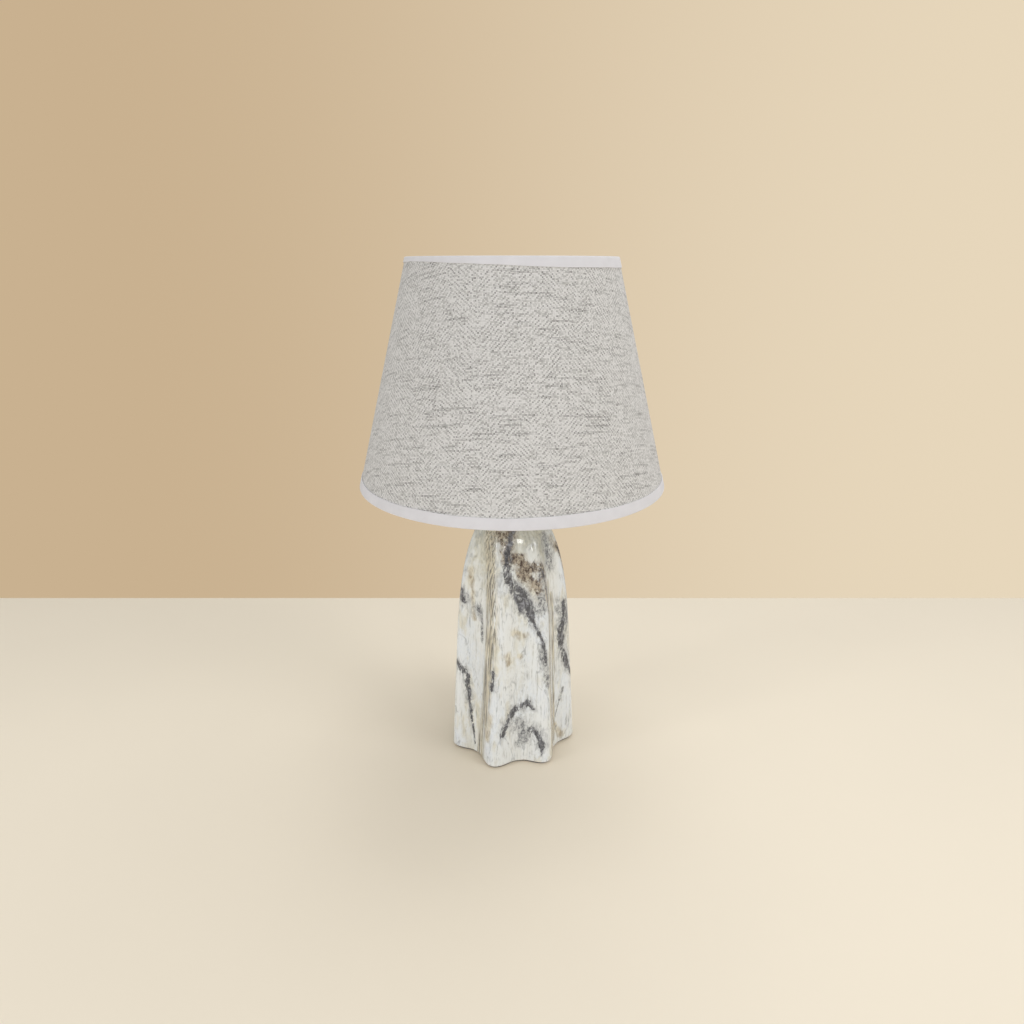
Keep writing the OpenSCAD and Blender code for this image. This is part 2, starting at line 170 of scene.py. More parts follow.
def write_mesh(name, points, wrap_rows=True, wrap_columns=True, grain=None, poles=False):
    """A mesh from a grid of points [rows, columns, xyz] in millimetres. A wrapped direction closes on
    itself, and poles joins the rings that have shrunk to nothing. grain holds the flat cloth's
    coordinates on the grid, with one more row and column where those wrap. Where the signed volume is
    negative, the faces are turned to point outwards."""
    rows, columns = points.shape[:2]
    index = np.arange(rows * columns).reshape(rows, columns)
    if wrap_rows:
        index = np.vstack([index, index[:1]])
    if wrap_columns:
        index = np.hstack([index, index[:, :1]])
    place = np.arange(index.size).reshape(index.shape)
    square = np.stack([place[:-1, :-1], place[:-1, 1:], place[1:, 1:], place[1:, :-1]], -1)
    square = square.reshape(-1, 4)
    flat = points.reshape(-1, 3)
    quads = index.ravel()[square]
    a, b, c, d = (flat[quads[:, k]] for k in range(4))
    volume = (a * (np.cross(b, c) + np.cross(c, d))).sum()
    if volume < 0:
        square = square[:, ::-1]
        quads = quads[:, ::-1]
    mesh = bpy.data.meshes.new(name)
    mesh.vertices.add(len(flat))
    mesh.vertices.foreach_set("co", (flat * MM).astype(np.float32).ravel())
    mesh.loops.add(quads.size)
    mesh.loops.foreach_set("vertex_index", quads.astype(np.int32).ravel())
    mesh.polygons.add(len(quads))
    mesh.polygons.foreach_set("loop_start", np.arange(0, quads.size, 4, dtype=np.int32))
    mesh.update(calc_edges=True)
    if grain is not None:
        layer = mesh.uv_layers.new(name="grain")
        layer.uv.foreach_set("vector", grain.reshape(-1, 2)[square].astype(np.float32).ravel())
    if poles:
        close_poles(mesh)
    return smoothed(mesh)


def close_poles(mesh):
    """Joins the points of each ring that has shrunk to nothing."""
    work = bmesh.new()
    work.from_mesh(mesh)
    bmesh.ops.remove_doubles(work, verts=work.verts, dist=1e-7)
    work.to_mesh(mesh)
    work.free()


def piece(mesh, body, slot, node, material=None):
    """Puts a mesh into the scene under its own name, as a piece that rides on a body, stands for a CAD
    node and takes its finish from a slot, with the slot's plain material unless one is given."""
    made = bpy.data.objects.new(mesh.name, mesh)
    bpy.context.scene.collection.objects.link(made)
    mesh.materials.append(material or finishes[slot])
    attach(made, body)
    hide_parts(node)
    return made


def joined(name, meshes):
    """One mesh of several, for shapes that repeat."""
    work = bmesh.new()
    for mesh in meshes:
        work.from_mesh(mesh)
    whole = bpy.data.meshes.new(name)
    work.to_mesh(whole)
    work.free()
    return smoothed(whole)


def softened(corners, radius, steps=4, closed=True):
    """An outline with its corners rounded: each corner becomes a quadratic curve that starts and ends
    a radius along its two sides, or halfway along a shorter side. corners is [corner, ..., 2]."""
    before = np.roll(corners, 1, axis=0) - corners
    after = np.roll(corners, -1, axis=0) - corners
    radius = np.asarray(radius, float).reshape(-1, *([1] * (corners.ndim - 1)))
    ends = []
    for side in (before, after):
        length = np.maximum(np.linalg.norm(side, axis=-1, keepdims=True), 1e-9)
        ends.append(corners + side / length * np.minimum(radius, 0.48 * length))
    t = np.linspace(0, 1, steps + 1).reshape(-1, *([1] * corners.ndim))
    curve = (1 - t) ** 2 * ends[0] + 2 * t * (1 - t) * corners + t ** 2 * ends[1]
    curve = np.moveaxis(curve, 0, 1)
    if not closed:
        curve[0] = corners[0]
        curve[-1] = corners[-1]
    return curve.reshape(-1, *corners.shape[1:])


def turned(name, outline, around=96, radius=0.25, wave=None, closed=True):
    """A lathed shape: the softened outline of (radius, height) pairs carried round +Z. wave, where it
    is given, adds to the radius at each height and angle, as a thread or finger grooves do. An
    outline that isn't closed begins and ends on the axis."""
    profile = softened(np.array(outline, float), radius, closed=closed)
    angle = full_turn(around)
    r = np.repeat(profile[:, :1], around, axis=1)
    z = np.repeat(profile[:, 1:], around, axis=1)
    if wave is not None:
        r = r + wave(r, z, angle)
    points = np.stack([r * np.cos(angle), r * np.sin(angle), z], axis=-1)
    return write_mesh(name, points, wrap_rows=closed, poles=not closed)


def between(z0, z1, step):
    """Heights from z0 to z1, no more than a step apart."""
    return np.linspace(z0, z1, max(2, math.ceil(abs(z1 - z0) / step) + 1))


def wall_points(r, z0, z1, step):
    """A straight wall at one radius, with points close enough to carry a thread."""
    return [(r, z) for z in between(z0, z1, step)]


def thread(face, depth, pitch, z0, z1, inward=False):
    """A right-hand thread on one face: a rounded wave of height and turn, cut into the face from
    outside or inside, which fades out over half a pitch at both ends."""
    def cut(r, z, angle):
        turn = z / pitch - angle / (2 * math.pi)
        groove = (0.5 - 0.5 * np.cos(2 * math.pi * turn)) ** 1.2 * depth
        fade = np.clip(np.minimum(z - z0, z1 - z) / (0.5 * pitch), 0, 1)
        on_face = np.abs(r - face) < 0.02
        return np.where(on_face, (groove if inward else -groove) * fade, 0)
    return cut


def swept(name, path, radius):
    """A round bar along a path of points that lies in a plane through +Z, with domed ends: rings of
    the radius are set square to the path, and at both ends they shrink on a quarter circle."""
    path = np.array(path, float)
    along = np.gradient(path, axis=0)
    along /= np.linalg.norm(along, axis=1, keepdims=True)
    side = np.cross([0, 0, 1.0], along)
    side /= np.linalg.norm(side, axis=1, keepdims=True)
    up = np.cross(along, side)
    dome = np.linspace(0, math.pi / 2, 6)
    start = [(path[0] - along[0] * radius * math.cos(a), radius * math.sin(a), 0) for a in dome[:-1]]
    middle = [(path[i], radius, i) for i in range(len(path))]
    end = [(path[-1] + along[-1] * radius * math.sin(a), radius * math.cos(a), -1) for a in dome[1:]]
    rings = start + middle + end
    centre = np.array([ring[0] for ring in rings])[:, None]
    size = np.array([ring[1] for ring in rings])[:, None, None]
    which = [ring[2] for ring in rings]
    angle = full_turn(16)[None, :, None]
    spokes = np.cos(angle) * side[which][:, None] + np.sin(angle) * up[which][:, None]
    points = centre + size * spokes
    return write_mesh(name, points, wrap_rows=False, poles=True)


# ------------------------------------------------------------------ materials

def add(tree, kind, inputs=None, **settings):
    """Adds a node: settings are its own properties, and each input is a value, a socket or a node,
    which stands for that node's first live output."""
    node = tree.nodes.new(kind)
    for key, value in settings.items():
        setattr(node, key, value)
    for key, value in (inputs or {}).items():
        if isinstance(value, bpy.types.Node):
            value = next(output for output in value.outputs if output.enabled)
        if isinstance(value, bpy.types.NodeSocket):
            tree.links.new(value, node.inputs[key])
        else:
            node.inputs[key].default_value = value
    return node


def new_material(name):
    """A material with an empty node tree."""
    material = bpy.data.materials.new(name)
    material.use_nodes = True
    material.node_tree.nodes.clear()
    return material, material.node_tree


def surface(tree, height, strength, depth, sockets):
    """Ends a tree in a Principled shader with these sockets. Its bump follows a height, with a depth
    in millimetres."""
    bump = add(tree, "ShaderNodeBump", {"Height": height, "Strength": strength, "Distance": depth * MM})
    shader = add(tree, "ShaderNodeBsdfPrincipled", {**sockets, "Normal": bump})
    add(tree, "ShaderNodeOutputMaterial", {"Surface": shader})


def per_metre(size_mm):
    """The scale that gives a pattern features of that size on Object coordinates in metres."""
    return 1 / (size_mm * MM)


def mottled(name, dark, light, feature, roughness, spread, depth, stretch=(1, 1, 1), **sockets):
    """A finish whose colour and roughness vary a little with a noise of a feature size in millimetres,
    stretched along an axis where the surface was drawn or brushed, with a shallow relief in it."""
    material, tree = new_material(name)
    place = add(tree, "ShaderNodeTexCoord").outputs["Object"]
    place = add(tree, "ShaderNodeMapping", {"Vector": place, "Scale": stretch})
    noise = add(tree, "ShaderNodeTexNoise", {"Vector": place, "Scale": per_metre(feature), "Detail": 3.0})
    tone = add(tree, "ShaderNodeMapRange", {"Value": noise, "From Min": 0.3, "From Max": 0.7})
    colour = add(tree, "ShaderNodeMix", {0: tone, 6: linear(dark), 7: linear(light)}, data_type="RGBA")
    rough = add(tree, "ShaderNodeMapRange", {
        "Value": noise, "From Min": 0.3, "From Max": 0.7,
        "To Min": roughness - spread, "To Max": roughness + spread})
    surface(tree, noise, 0.6, depth, {"Base Color": colour, "Roughness": rough, **sockets})
    return material


def reactive_glaze(settings):
    """Stoneware in a reactive glaze: a bluish white gloss that breaks to cream, with charcoal and umber
    that ran down in ragged veins, tan pools and grey mottling. The foot and the inside are bare
    fired clay. The mesh carries how far each point lies inside a vein as attributes."""
    material, tree = new_material("reactive_glaze_on_stoneware")
    place = add(tree, "ShaderNodeTexCoord").outputs["Object"]
    # Noises by name: feature in mm, scale upright, where less draws it out down the side, detail,
    # roughness, distortion
    noises = {
        "ragged": (6, 0.45, 6, 0.7, 0.8),
        "fine": (1.7, 0.55, 5, 0.7, 0.4),
        "grains": (2.6, 0.7, 5, 0.7, 1.2),
        "swirl": (7, 0.45, 5, 0.65, 2.2),
        "streaks": (1.7, 0.035, 4, 0.6, 0.2),
        "threads": (0.9, 0.014, 2, 0.5, 0.0),
        "drift": (16, 0.3, 3, 0.55, 0.6),
        "clouds": (24, 0.5, 3, 0.5, 0.0),
        "waves": (5, 0.5, 1, 0.5, 0.0),
    }
    field = {}
    for number, (name, (size, upward, detail, roughness, distortion)) in enumerate(noises.items()):
        at = add(tree, "ShaderNodeMapping", {
            "Vector": place, "Scale": (1, 1, upward), "Location": (number, number, number)})
        field[name] = add(tree, "ShaderNodeTexNoise", {
            "Vector": at, "Scale": per_metre(size), "Detail": detail, "Roughness": roughness,
            "Distortion": distortion})
    for name in ("glazed", "hollow", "crown", *VEINS):
        field[name] = add(tree, "ShaderNodeAttribute", attribute_name=name).outputs["Fac"]
    # Veins end raggedly: a coarse and a fine noise, about 0 in the mean, are added to their depth
    edge = add(tree, "ShaderNodeMath", {0: field["ragged"], 1: 3.6, 2: -2.6}, operation="MULTIPLY_ADD")
    edge = add(tree, "ShaderNodeMath", {0: field["fine"], 1: 1.4, 2: edge}, operation="MULTIPLY_ADD")
    # A hairline follows the middle contour of the drifting noise
    contour = add(tree, "ShaderNodeMath", {0: field["drift"], 1: 0.5}, operation="SUBTRACT")
    field["contour"] = add(tree, "ShaderNodeMath", {0: contour}, operation="ABSOLUTE")

    # Layers, each over the last: what it follows and how raggedly, where it starts and is full, its
    # share, what breaks it up and where, what mottles it and where, and its two tones
    darkest = tuple(settings.glaze_charcoal)
    layers = (
        ("clouds", 0, 0.44, 0.60, 0.8, "fine", 0.0, 0.1, "fine", 0.4, 0.6, "E6EAEC", "DBE1E7"),
        ("hollow", 0.2, 0.2, 1.5, 0.5, "swirl", 0.3, 0.6, "drift", 0.4, 0.6, "D6D2C2", "C9CBC6"),
        ("drift", 0.03, 0.50, 0.66, 0.8, "ragged", 0.3, 0.6, "swirl", 0.4, 0.62, "DDD8C4", "CCC6B0"),
        ("crown", 0.3, 0.1, 1.2, 0.8, "drift", 0.34, 0.56, "swirl", 0.38, 0.62, "CFCCBA", "A3A08E"),
        ("streaks", 0, 0.50, 0.66, 0.6, "ragged", 0.42, 0.62, "threads", 0.4, 0.6, "C6C4BB", "A09F98"),
        ("threads", 0, 0.55, 0.64, 0.5, "swirl", 0.46, 0.62, "fine", 0.4, 0.6, "ACADAB", "85878A"),
        ("contour", 0, 0.018, 0.0, 0.6, "ragged", 0.40, 0.6, "fine", 0.4, 0.6, "A9ABA8", "85868A"),
        ("stripe", 0.15, -0.3, 0.5, 0.9, "streaks", 0.34, 0.5, "swirl", 0.4, 0.6, "D3CAB2", "B5AC97"),
        ("stripe", 0.15, -0.2, 0.4, 0.9, "threads", 0.48, 0.58, "fine", 0.4, 0.6, "8F8C83", "706D68"),
        ("tan", 0.7, -0.5, 0.8, 0.9, "fine", 0.0, 0.1, "swirl", 0.42, 0.58, "D9D3C0", "9D8F78"),
        ("charcoal", 0.8, -1.5, 0.6, 0.8, "swirl", 0.38, 0.58, "grains", 0.4, 0.6, "C4C5C3", "8E8F92"),
        ("grey", 0.8, -0.9, 0.6, 0.8, "swirl", 0.34, 0.56, "grains", 0.4, 0.6, "C9CAC6", "9A9A98"),
        ("grey", 0.9, -0.4, 0.7, 0.9, "fine", 0.0, 0.1, "grains", 0.43, 0.57, "C6C7C5", "646569"),
        ("umber", 0.9, -1.1, 0.5, 0.8, "swirl", 0.36, 0.56, "grains", 0.4, 0.6, "CDC6B6", "998B79"),
        ("umber", 1.0, -0.3, 0.5, 0.95, "fine", 0.3, 0.5, "grains", 0.40, 0.58, "B0A491", "41302A"),
        ("charcoal", 1.1, 0.1, 0.6, 0.97, "swirl", 0.30, 0.44, "grains", 0.48, 0.64, darkest, "94959A"),
    )
    colour = tuple(settings.glaze_white)
    for what, ragged, start, full, share, gaps, none, whole, mottle, one, two, tone, other in layers:
        depth = add(tree, "ShaderNodeMath", {0: edge, 1: ragged, 2: field[what]}, operation="MULTIPLY_ADD")
        laid = add(tree, "ShaderNodeMapRange", {
            "Value": depth, "From Min": start, "From Max": full, "To Max": share},
            interpolation_type="SMOOTHSTEP")
        broken = add(tree, "ShaderNodeMapRange", {
            "Value": field[gaps], "From Min": none, "From Max": whole}, interpolation_type="SMOOTHSTEP")
        laid = add(tree, "ShaderNodeMath", {0: laid, 1: broken}, operation="MULTIPLY")
        mottling = add(tree, "ShaderNodeMapRange", {
            "Value": field[mottle], "From Min": one, "From Max": two})
        tones = [linear(code) if isinstance(code, str) else code for code in (tone, other)]
        tones = add(tree, "ShaderNodeMix", {0: mottling, 6: tones[0], 7: tones[1]}, data_type="RGBA")
        colour = add(tree, "ShaderNodeMix", {0: laid, 6: colour, 7: tones}, data_type="RGBA")

    speckle = add(tree, "ShaderNodeMapRange", {
        "Value": field["grains"], "From Min": 0.35, "From Max": 0.65})
    clay = add(tree, "ShaderNodeMix", {
        0: speckle, 6: linear("CFC4B2"), 7: linear("E2DACB")}, data_type="RGBA")
    colour = add(tree, "ShaderNodeMix", {0: field["glazed"], 6: clay, 7: colour}, data_type="RGBA")
    gloss = add(tree, "ShaderNodeMapRange", {
        "Value": field["ragged"], "From Min": 0.3, "From Max": 0.7, "To Min": 0.05, "To Max": 0.12})
    rough = add(tree, "ShaderNodeMix", {0: field["glazed"], 2: 0.75, 3: gloss})
    # The glaze lies in gentle waves a few millimetres across, and the last layer, the charcoal veins,
    # sinks a little
    height = add(tree, "ShaderNodeMath", {0: laid, 1: -0.18, 2: field["waves"]}, operation="MULTIPLY_ADD")
    surface(tree, height, 0.4, 0.6, {"Base Color": colour, "Roughness": rough, "IOR": 1.52})
    return material


def linen_weave(settings):
    """Linen look woven as a one-and-two twill in off-white and grey yarns: its fine diagonals turn left
    and right in ragged bands, the threads wander a little, each has its own tone and changes along
    its length, and some picks stand apart with thin dark lines of painted shade beside them. The gaps
    between the threads carry painted shade too. The grain is the flat cloth's, so it runs straight at the
    front and leans towards the seam."""
    material, tree = new_material("linen_weave_cover")
    grain = add(tree, "ShaderNodeUVMap", uv_map="grain").outputs[0]
    threads = 100 / settings.thread_spacing
    count = add(tree, "ShaderNodeMapping", {"Vector": grain, "Scale": (threads, threads, 1)})
    wander = add(tree, "ShaderNodeTexNoise", {"Vector": count, "Scale": 0.09, "Detail": 2.0})
    wander = add(tree, "ShaderNodeVectorMath", {
        0: wander.outputs["Color"], 1: (3.0, 1.2, 0)}, operation="MULTIPLY")
    count = add(tree, "ShaderNodeVectorMath", {0: count, 1: wander}, operation="ADD")
    warp, weft = add(tree, "ShaderNodeSeparateXYZ", {0: count}).outputs[:2]
    tones = []
    bulges = []
    numbers = []
    for across, along, shift in ((warp, weft, 0.0), (weft, warp, 5.5)):
        number = add(tree, "ShaderNodeMath", {0: across}, operation="FLOOR")
        apart = add(tree, "ShaderNodeMath", {0: number, 1: 7.31}, operation="MULTIPLY")
        slow = add(tree, "ShaderNodeMath", {0: along, 1: 0.12}, operation="MULTIPLY")
        at = add(tree, "ShaderNodeCombineXYZ", {0: apart, 1: slow, 2: shift})
        slub = add(tree, "ShaderNodeTexNoise", {
            "Vector": at, "Scale": 1.0, "Detail": 2.0, "Roughness": 0.6})
        step = add(tree, "ShaderNodeMath", {0: along}, operation="FLOOR")
        spot = add(tree, "ShaderNodeCombineXYZ", {0: number, 1: step, 2: shift})
        dots = add(tree, "ShaderNodeTexWhiteNoise", {"Vector": spot}, noise_dimensions="3D")
        slub = add(tree, "ShaderNodeMath", {0: slub, 1: 0.7, 2: 0.12}, operation="MULTIPLY_ADD")
        tones.append(add(tree, "ShaderNodeMath", {0: dots.outputs["Value"], 1: 0.30, 2: slub},
                         operation="MULTIPLY_ADD"))
        # A thread's section is the parabola 4 p (1 - p) of the share p of the way across it
        part = add(tree, "ShaderNodeMath", {0: across}, operation="FRACT")
        rest = add(tree, "ShaderNodeMath", {0: 1.0, 1: part}, operation="SUBTRACT")
        both = add(tree, "ShaderNodeMath", {0: part, 1: rest}, operation="MULTIPLY")
        bulges.append(add(tree, "ShaderNodeMath", {0: both, 1: 4.0}, operation="MULTIPLY"))
        numbers.append(number)
    # The twill's diagonal turns over where a slow noise along the cloth crosses its middle
    band = add(tree, "ShaderNodeMapping", {"Vector": grain, "Scale": (3.2, 0.8, 1)})
    band = add(tree, "ShaderNodeTexNoise", {
        "Vector": band, "Scale": 1.0, "Detail": 5.0, "Roughness": 0.7})
    turn = add(tree, "ShaderNodeMath", {0: band, 1: 0.5}, operation="GREATER_THAN")
    turn = add(tree, "ShaderNodeMath", {0: turn, 1: 2.0, 2: -1.0}, operation="MULTIPLY_ADD")
    diagonal = add(tree, "ShaderNodeMath", {
        0: numbers[0], 1: turn, 2: numbers[1]}, operation="MULTIPLY_ADD")
    diagonal = add(tree, "ShaderNodeMath", {0: diagonal, 1: 3.0}, operation="FLOORED_MODULO")
    on_top = add(tree, "ShaderNodeMath", {0: diagonal, 1: 1.5}, operation="LESS_THAN")
    tone = add(tree, "ShaderNodeMix", {0: on_top, 2: tones[0], 3: tones[1]})
    upper = add(tree, "ShaderNodeMix", {0: on_top, 2: bulges[0], 3: bulges[1]})
    lower = add(tree, "ShaderNodeMix", {0: on_top, 2: bulges[1], 3: bulges[0]})
    height = add(tree, "ShaderNodeMath", {0: lower, 1: 0.35, 2: upper}, operation="MULTIPLY_ADD")
    # Painted shade: the gaps between the threads are darker, following the threads' relief; the weft is the
    # lighter yarn
    shade = add(tree, "ShaderNodeMath", {0: height, 1: 0.16, 2: tone}, operation="MULTIPLY_ADD")
    shade = add(tree, "ShaderNodeMath", {0: on_top, 1: 0.20, 2: shade}, operation="MULTIPLY_ADD")
    # Some picks stand apart, with painted shade in the gaps beside them: a noise that changes from pick to
    # pick darkens both flanks of a thread
    along = add(tree, "ShaderNodeMath", {0: warp, 1: 0.035}, operation="MULTIPLY")
    pick = add(tree, "ShaderNodeMath", {0: numbers[1], 1: 3.7}, operation="MULTIPLY")
    pick = add(tree, "ShaderNodeCombineXYZ", {0: along, 1: pick})
    pick = add(tree, "ShaderNodeTexNoise", {"Vector": pick, "Scale": 1.0, "Detail": 1.0})
    pick = add(tree, "ShaderNodeMapRange", {
        "Value": pick, "From Min": 0.60, "From Max": 0.68, "To Max": 0.6})
    flank = add(tree, "ShaderNodeMath", {0: 1.0, 1: bulges[1]}, operation="SUBTRACT")
    pick = add(tree, "ShaderNodeMath", {0: pick, 1: flank}, operation="MULTIPLY")
    shade = add(tree, "ShaderNodeMath", {0: shade, 1: pick}, operation="SUBTRACT")
    patch = add(tree, "ShaderNodeTexNoise", {"Vector": grain, "Scale": 9.0, "Detail": 2.0})
    shade = add(tree, "ShaderNodeMath", {0: patch, 1: 0.07, 2: shade}, operation="MULTIPLY_ADD")
    colours = add(tree, "ShaderNodeValToRGB", {0: shade})
    ramp = colours.color_ramp
    stops = ((0.34, "4E4C49"), (0.60, "898784"), (0.82, "B3B1AD"), (1.06, "D6D4D1"))
    while len(ramp.elements) < len(stops):
        ramp.elements.new(0.5)
    for element, (position, code) in zip(ramp.elements, stops):
        element.position = position
        element.color = linear(code)
    surface(tree, height, 0.4, 0.15, {"Base Color": colours, "Roughness": 0.85, "Sheen Weight": 0.12})
    return material


def cotton_tape(settings):
    """Bias-cut cotton tape: a fine cloth whose threads run at 45 degrees, pressed flat and glued, so it
    is smooth and even, with small undulations where the glue took."""
    material, tree = new_material("bias_cut_cotton_tape")
    grain = add(tree, "ShaderNodeUVMap", uv_map="grain").outputs[0]
    bias = add(tree, "ShaderNodeMapping", {"Vector": grain, "Rotation": (0, 0, math.radians(45))})
    # A wave texture's bands are 2 pi / 20 of a unit apart at scale 1, and a unit of grain is 100 mm
    scale = 2 * math.pi / 20 * 100 / TAPE_THREAD
    waves = []
    for direction in ("X", "Y"):
        waves.append(add(tree, "ShaderNodeTexWave", {
            "Vector": bias, "Scale": scale, "Distortion": 0.6, "Detail": 1.0},
            bands_direction=direction).outputs["Fac"])
    weave = add(tree, "ShaderNodeMath", {0: waves[0], 1: waves[1]}, operation="MAXIMUM")
    blotch = add(tree, "ShaderNodeTexNoise", {"Vector": grain, "Scale": 12.0, "Detail": 3.0})
    mix = add(tree, "ShaderNodeMath", {0: weave, 1: 0.2, 2: blotch}, operation="MULTIPLY_ADD")
    tone = add(tree, "ShaderNodeMapRange", {"Value": mix, "From Min": 0.3, "From Max": 1.0})
    colour = add(tree, "ShaderNodeMix", {
        0: tone, 6: linear("D0CED0"), 7: tuple(settings.tape_colour)}, data_type="RGBA")
    surface(tree, mix, 0.3, 0.08, {"Base Color": colour, "Roughness": 0.7, "Sheen Weight": 0.15})
    return material


def needle_felt():
    """Charcoal needle felt: short fibres in every direction, so it is quite matt and softly speckled."""
    material, tree = new_material("needle_felt")
    place = add(tree, "ShaderNodeTexCoord").outputs["Object"]
    fibres = add(tree, "ShaderNodeTexNoise", {
        "Vector": place, "Scale": per_metre(0.8), "Detail": 5.0, "Roughness": 0.8, "Distortion": 2.0})
    tone = add(tree, "ShaderNodeMapRange", {"Value": fibres, "From Min": 0.35, "From Max": 0.65})
    colour = add(tree, "ShaderNodeMix", {
        0: tone, 6: linear("2A2A2C"), 7: linear("5A5A5C")}, data_type="RGBA")
    surface(tree, fibres, 0.8, 0.4, {"Base Color": colour, "Roughness": 0.95, "Sheen Weight": 0.3})
    return material


def plain_materials():
    """The finishes of the smaller parts, by their slots. Each gives its name, its darker and lighter
    tone, the size of its mottling, its roughness and how far that varies, and the relief's depth."""
    drawn_round = (0.2, 0.2, 1)
    drawn_upright = (1, 1, 0.2)
    return {
        # Moulded rubber: black, matt, with a faint bloom
        "rubber": mottled("moulded_rubber", "141414", "232323", 2.5, 0.62, 0.06, 0.02),
        # Zinc-plated steel: bright bluish grey with a soft spangle
        "zinc_steel": mottled("zinc_plated_steel", "A9ADB3", "C9CDD2", 1.2, 0.32, 0.08, 0.01, Metallic=1.0),
        # Nickel-plated turned brass: a warm mirror with fine turning lines
        "nickel_steel": mottled("nickel_plated_brass", "C4BFB6", "D8D3CA", 0.6, 0.16, 0.04, 0.006,
                                drawn_round, Metallic=1.0),
        # Rolled brass: yellow, with rolling streaks and fingerprints
        "brass": mottled("rolled_brass", "B98F45", "D9B26A", 1.5, 0.28, 0.08, 0.008,
                         drawn_upright, Metallic=1.0),
        # Moulded thermoset: gloss white with the faint flow of the powder
        "holder_plastic": mottled("moulded_thermoset", "E3E2DC", "F0EFEA", 6, 0.24, 0.05, 0.02, IOR=1.5),
        # Fired steatite: dense off-white ceramic with an eggshell surface
        "steatite": mottled("fired_steatite", "D8D4C6", "E8E5DB", 1.5, 0.5, 0.08, 0.03, IOR=1.55),
        # Powder coat on steel wire: white with a fine orange peel
        "frame_white": mottled("white_powder_coat", "E2E2DF", "F0F0EE", 1.0, 0.38, 0.05, 0.04),
        # PVC lampshade laminate: a smooth white film with a satin face
        "liner": mottled("pvc_lampshade_film", "E9E9E4", "F5F5F2", 12, 0.42, 0.06, 0.03),
        # Moulded polycarbonate: white, smooth, half matt
        "bulb_plastic": mottled("moulded_polycarbonate", "E6E6E4", "F2F2F0", 4, 0.4, 0.05, 0.01, IOR=1.58),
        # Opal polycarbonate: milk white and even, spark-eroded to a satin face
        "diffuser": mottled("opal_polycarbonate", "EEEEEA", "F8F8F6", 0.9, 0.45, 0.05, 0.01, IOR=1.58),
        # Moulded black insulator: glassy
        "bulb_black": mottled("moulded_phenolic", "0C0C0C", "1A1A1A", 2, 0.18, 0.04, 0.01, IOR=1.6),
        # Rolled aluminium: pale grey with drawn lines round the cap
        "bulb_cap_metal": mottled("rolled_aluminium", "BFC1C4", "D9DBDD", 0.8, 0.3, 0.06, 0.008,
                                  drawn_round, Metallic=1.0),
        # Solder mask on glass board: deep green and glossy
        "circuit_board": mottled("solder_masked_board", "0D3B22", "17522F", 2.2, 0.3, 0.08, 0.03, IOR=1.5),
        # Silicone with phosphor: egg-yellow and slightly soft
        "led_phosphor": mottled("led_phosphor_silicone", "D9B13C", "F0CF63", 0.7, 0.4, 0.06, 0.02),
    }


# ------------------------------------------------------------------ the base

def tip_at(z):
    """Radius at the lobe tips at height z above the foot rim: a lean that rounds in over the shoulder."""
    shoulder = np.clip((z - SHOULDER_Z) / (CLOSING_Z - SHOULDER_Z), 0, 1)
    return (TIP_R - SIDE_LEAN * z) * (1 - shoulder ** 2.5) ** 0.25


def lobe_wave(bearing):
    """1 at a lobe's tip and 0 in a flute: a raised cosine sharpened by a power, with a tip at the rear."""
    return ((1 + np.cos(LOBES * (bearing - REAR))) / 2) ** TIP_POWER


def body_r(z, bearing):
    """Radius of the base at a height and a bearing from the front: the tip's radius less the flute,
    which fades out as the fourth power of the way up the shoulder."""
    shoulder = np.clip((z - SHOULDER_Z) / (CLOSING_Z - SHOULDER_Z), 0, 1)
    flute = FLUTE_DEPTH * tip_at(z) / TIP_R * (1 - shoulder ** 4)
    return tip_at(z) - flute * (1 - lobe_wave(bearing))


def body_section():
    """The base's section as rows of (height, inset from the outside, share of the way in to the
    centre hole), round the wall: up the outside, over the crown, down the cavity, across the floor,
    over the recess and round the foot."""
    quarter = np.linspace(0, math.pi / 2, 5)[1:]
    rows = [(FOOT_ROUND * (1 - math.sin(a)), FOOT_ROUND * (1 - math.cos(a)), 0) for a in quarter[::-1]]
    rows += [(z, 0, 0) for z in between(FOOT_ROUND, SHOULDER_Z, 1.25)]
    steps = np.linspace(0, 1, 78)[1:]
    rows += [(SHOULDER_Z + (BODY_H - SHOULDER_Z) * (1 - (1 - s) ** 1.25), 0, 0) for s in steps]
    rows += [(BODY_H, 0, s) for s in (0.06, 0.3, 0.65, 1)]
    rows += [(z, WALL, 1) for z in (BODY_H - 1.5, BODY_H - 3, BODY_H - WALL)]
    rows += [(BODY_H - WALL, WALL, s) for s in (0.7, 0.35, 0)]
    rows += [(z, WALL, 0) for z in between(BODY_H - WALL - 1, RECESS_H + FLOOR_T, 12)]
    rows += [(RECESS_H + FLOOR_T, WALL, s) for s in (0.35, 0.7, 1)]
    rim_in = FOOT_ROUND + WALL
    rows += [(RECESS_H, rim_in, s) for s in (1, 0.7, 0.35, 0)]
    rows += [(z, rim_in, 0) for z in between(RECESS_H - 1, 0.4, 3)]
    rows += [(0, rim_in - 0.4, 0), (0, (rim_in + FOOT_ROUND) / 2, 0)]
    return np.array(rows, float)


def body_points():
    """The base's surface: the section's rows carried round all bearings."""
    rows = body_section()
    bearing = full_turn(56 * LOBES)
    z, inset, share = (rows[:, k, None] for k in range(3))
    r = body_r(z, bearing) - inset
    r = r * (1 - share) + CENTRE_HOLE_R * share
    return upright(r, bearing, z + FOOT_Z)


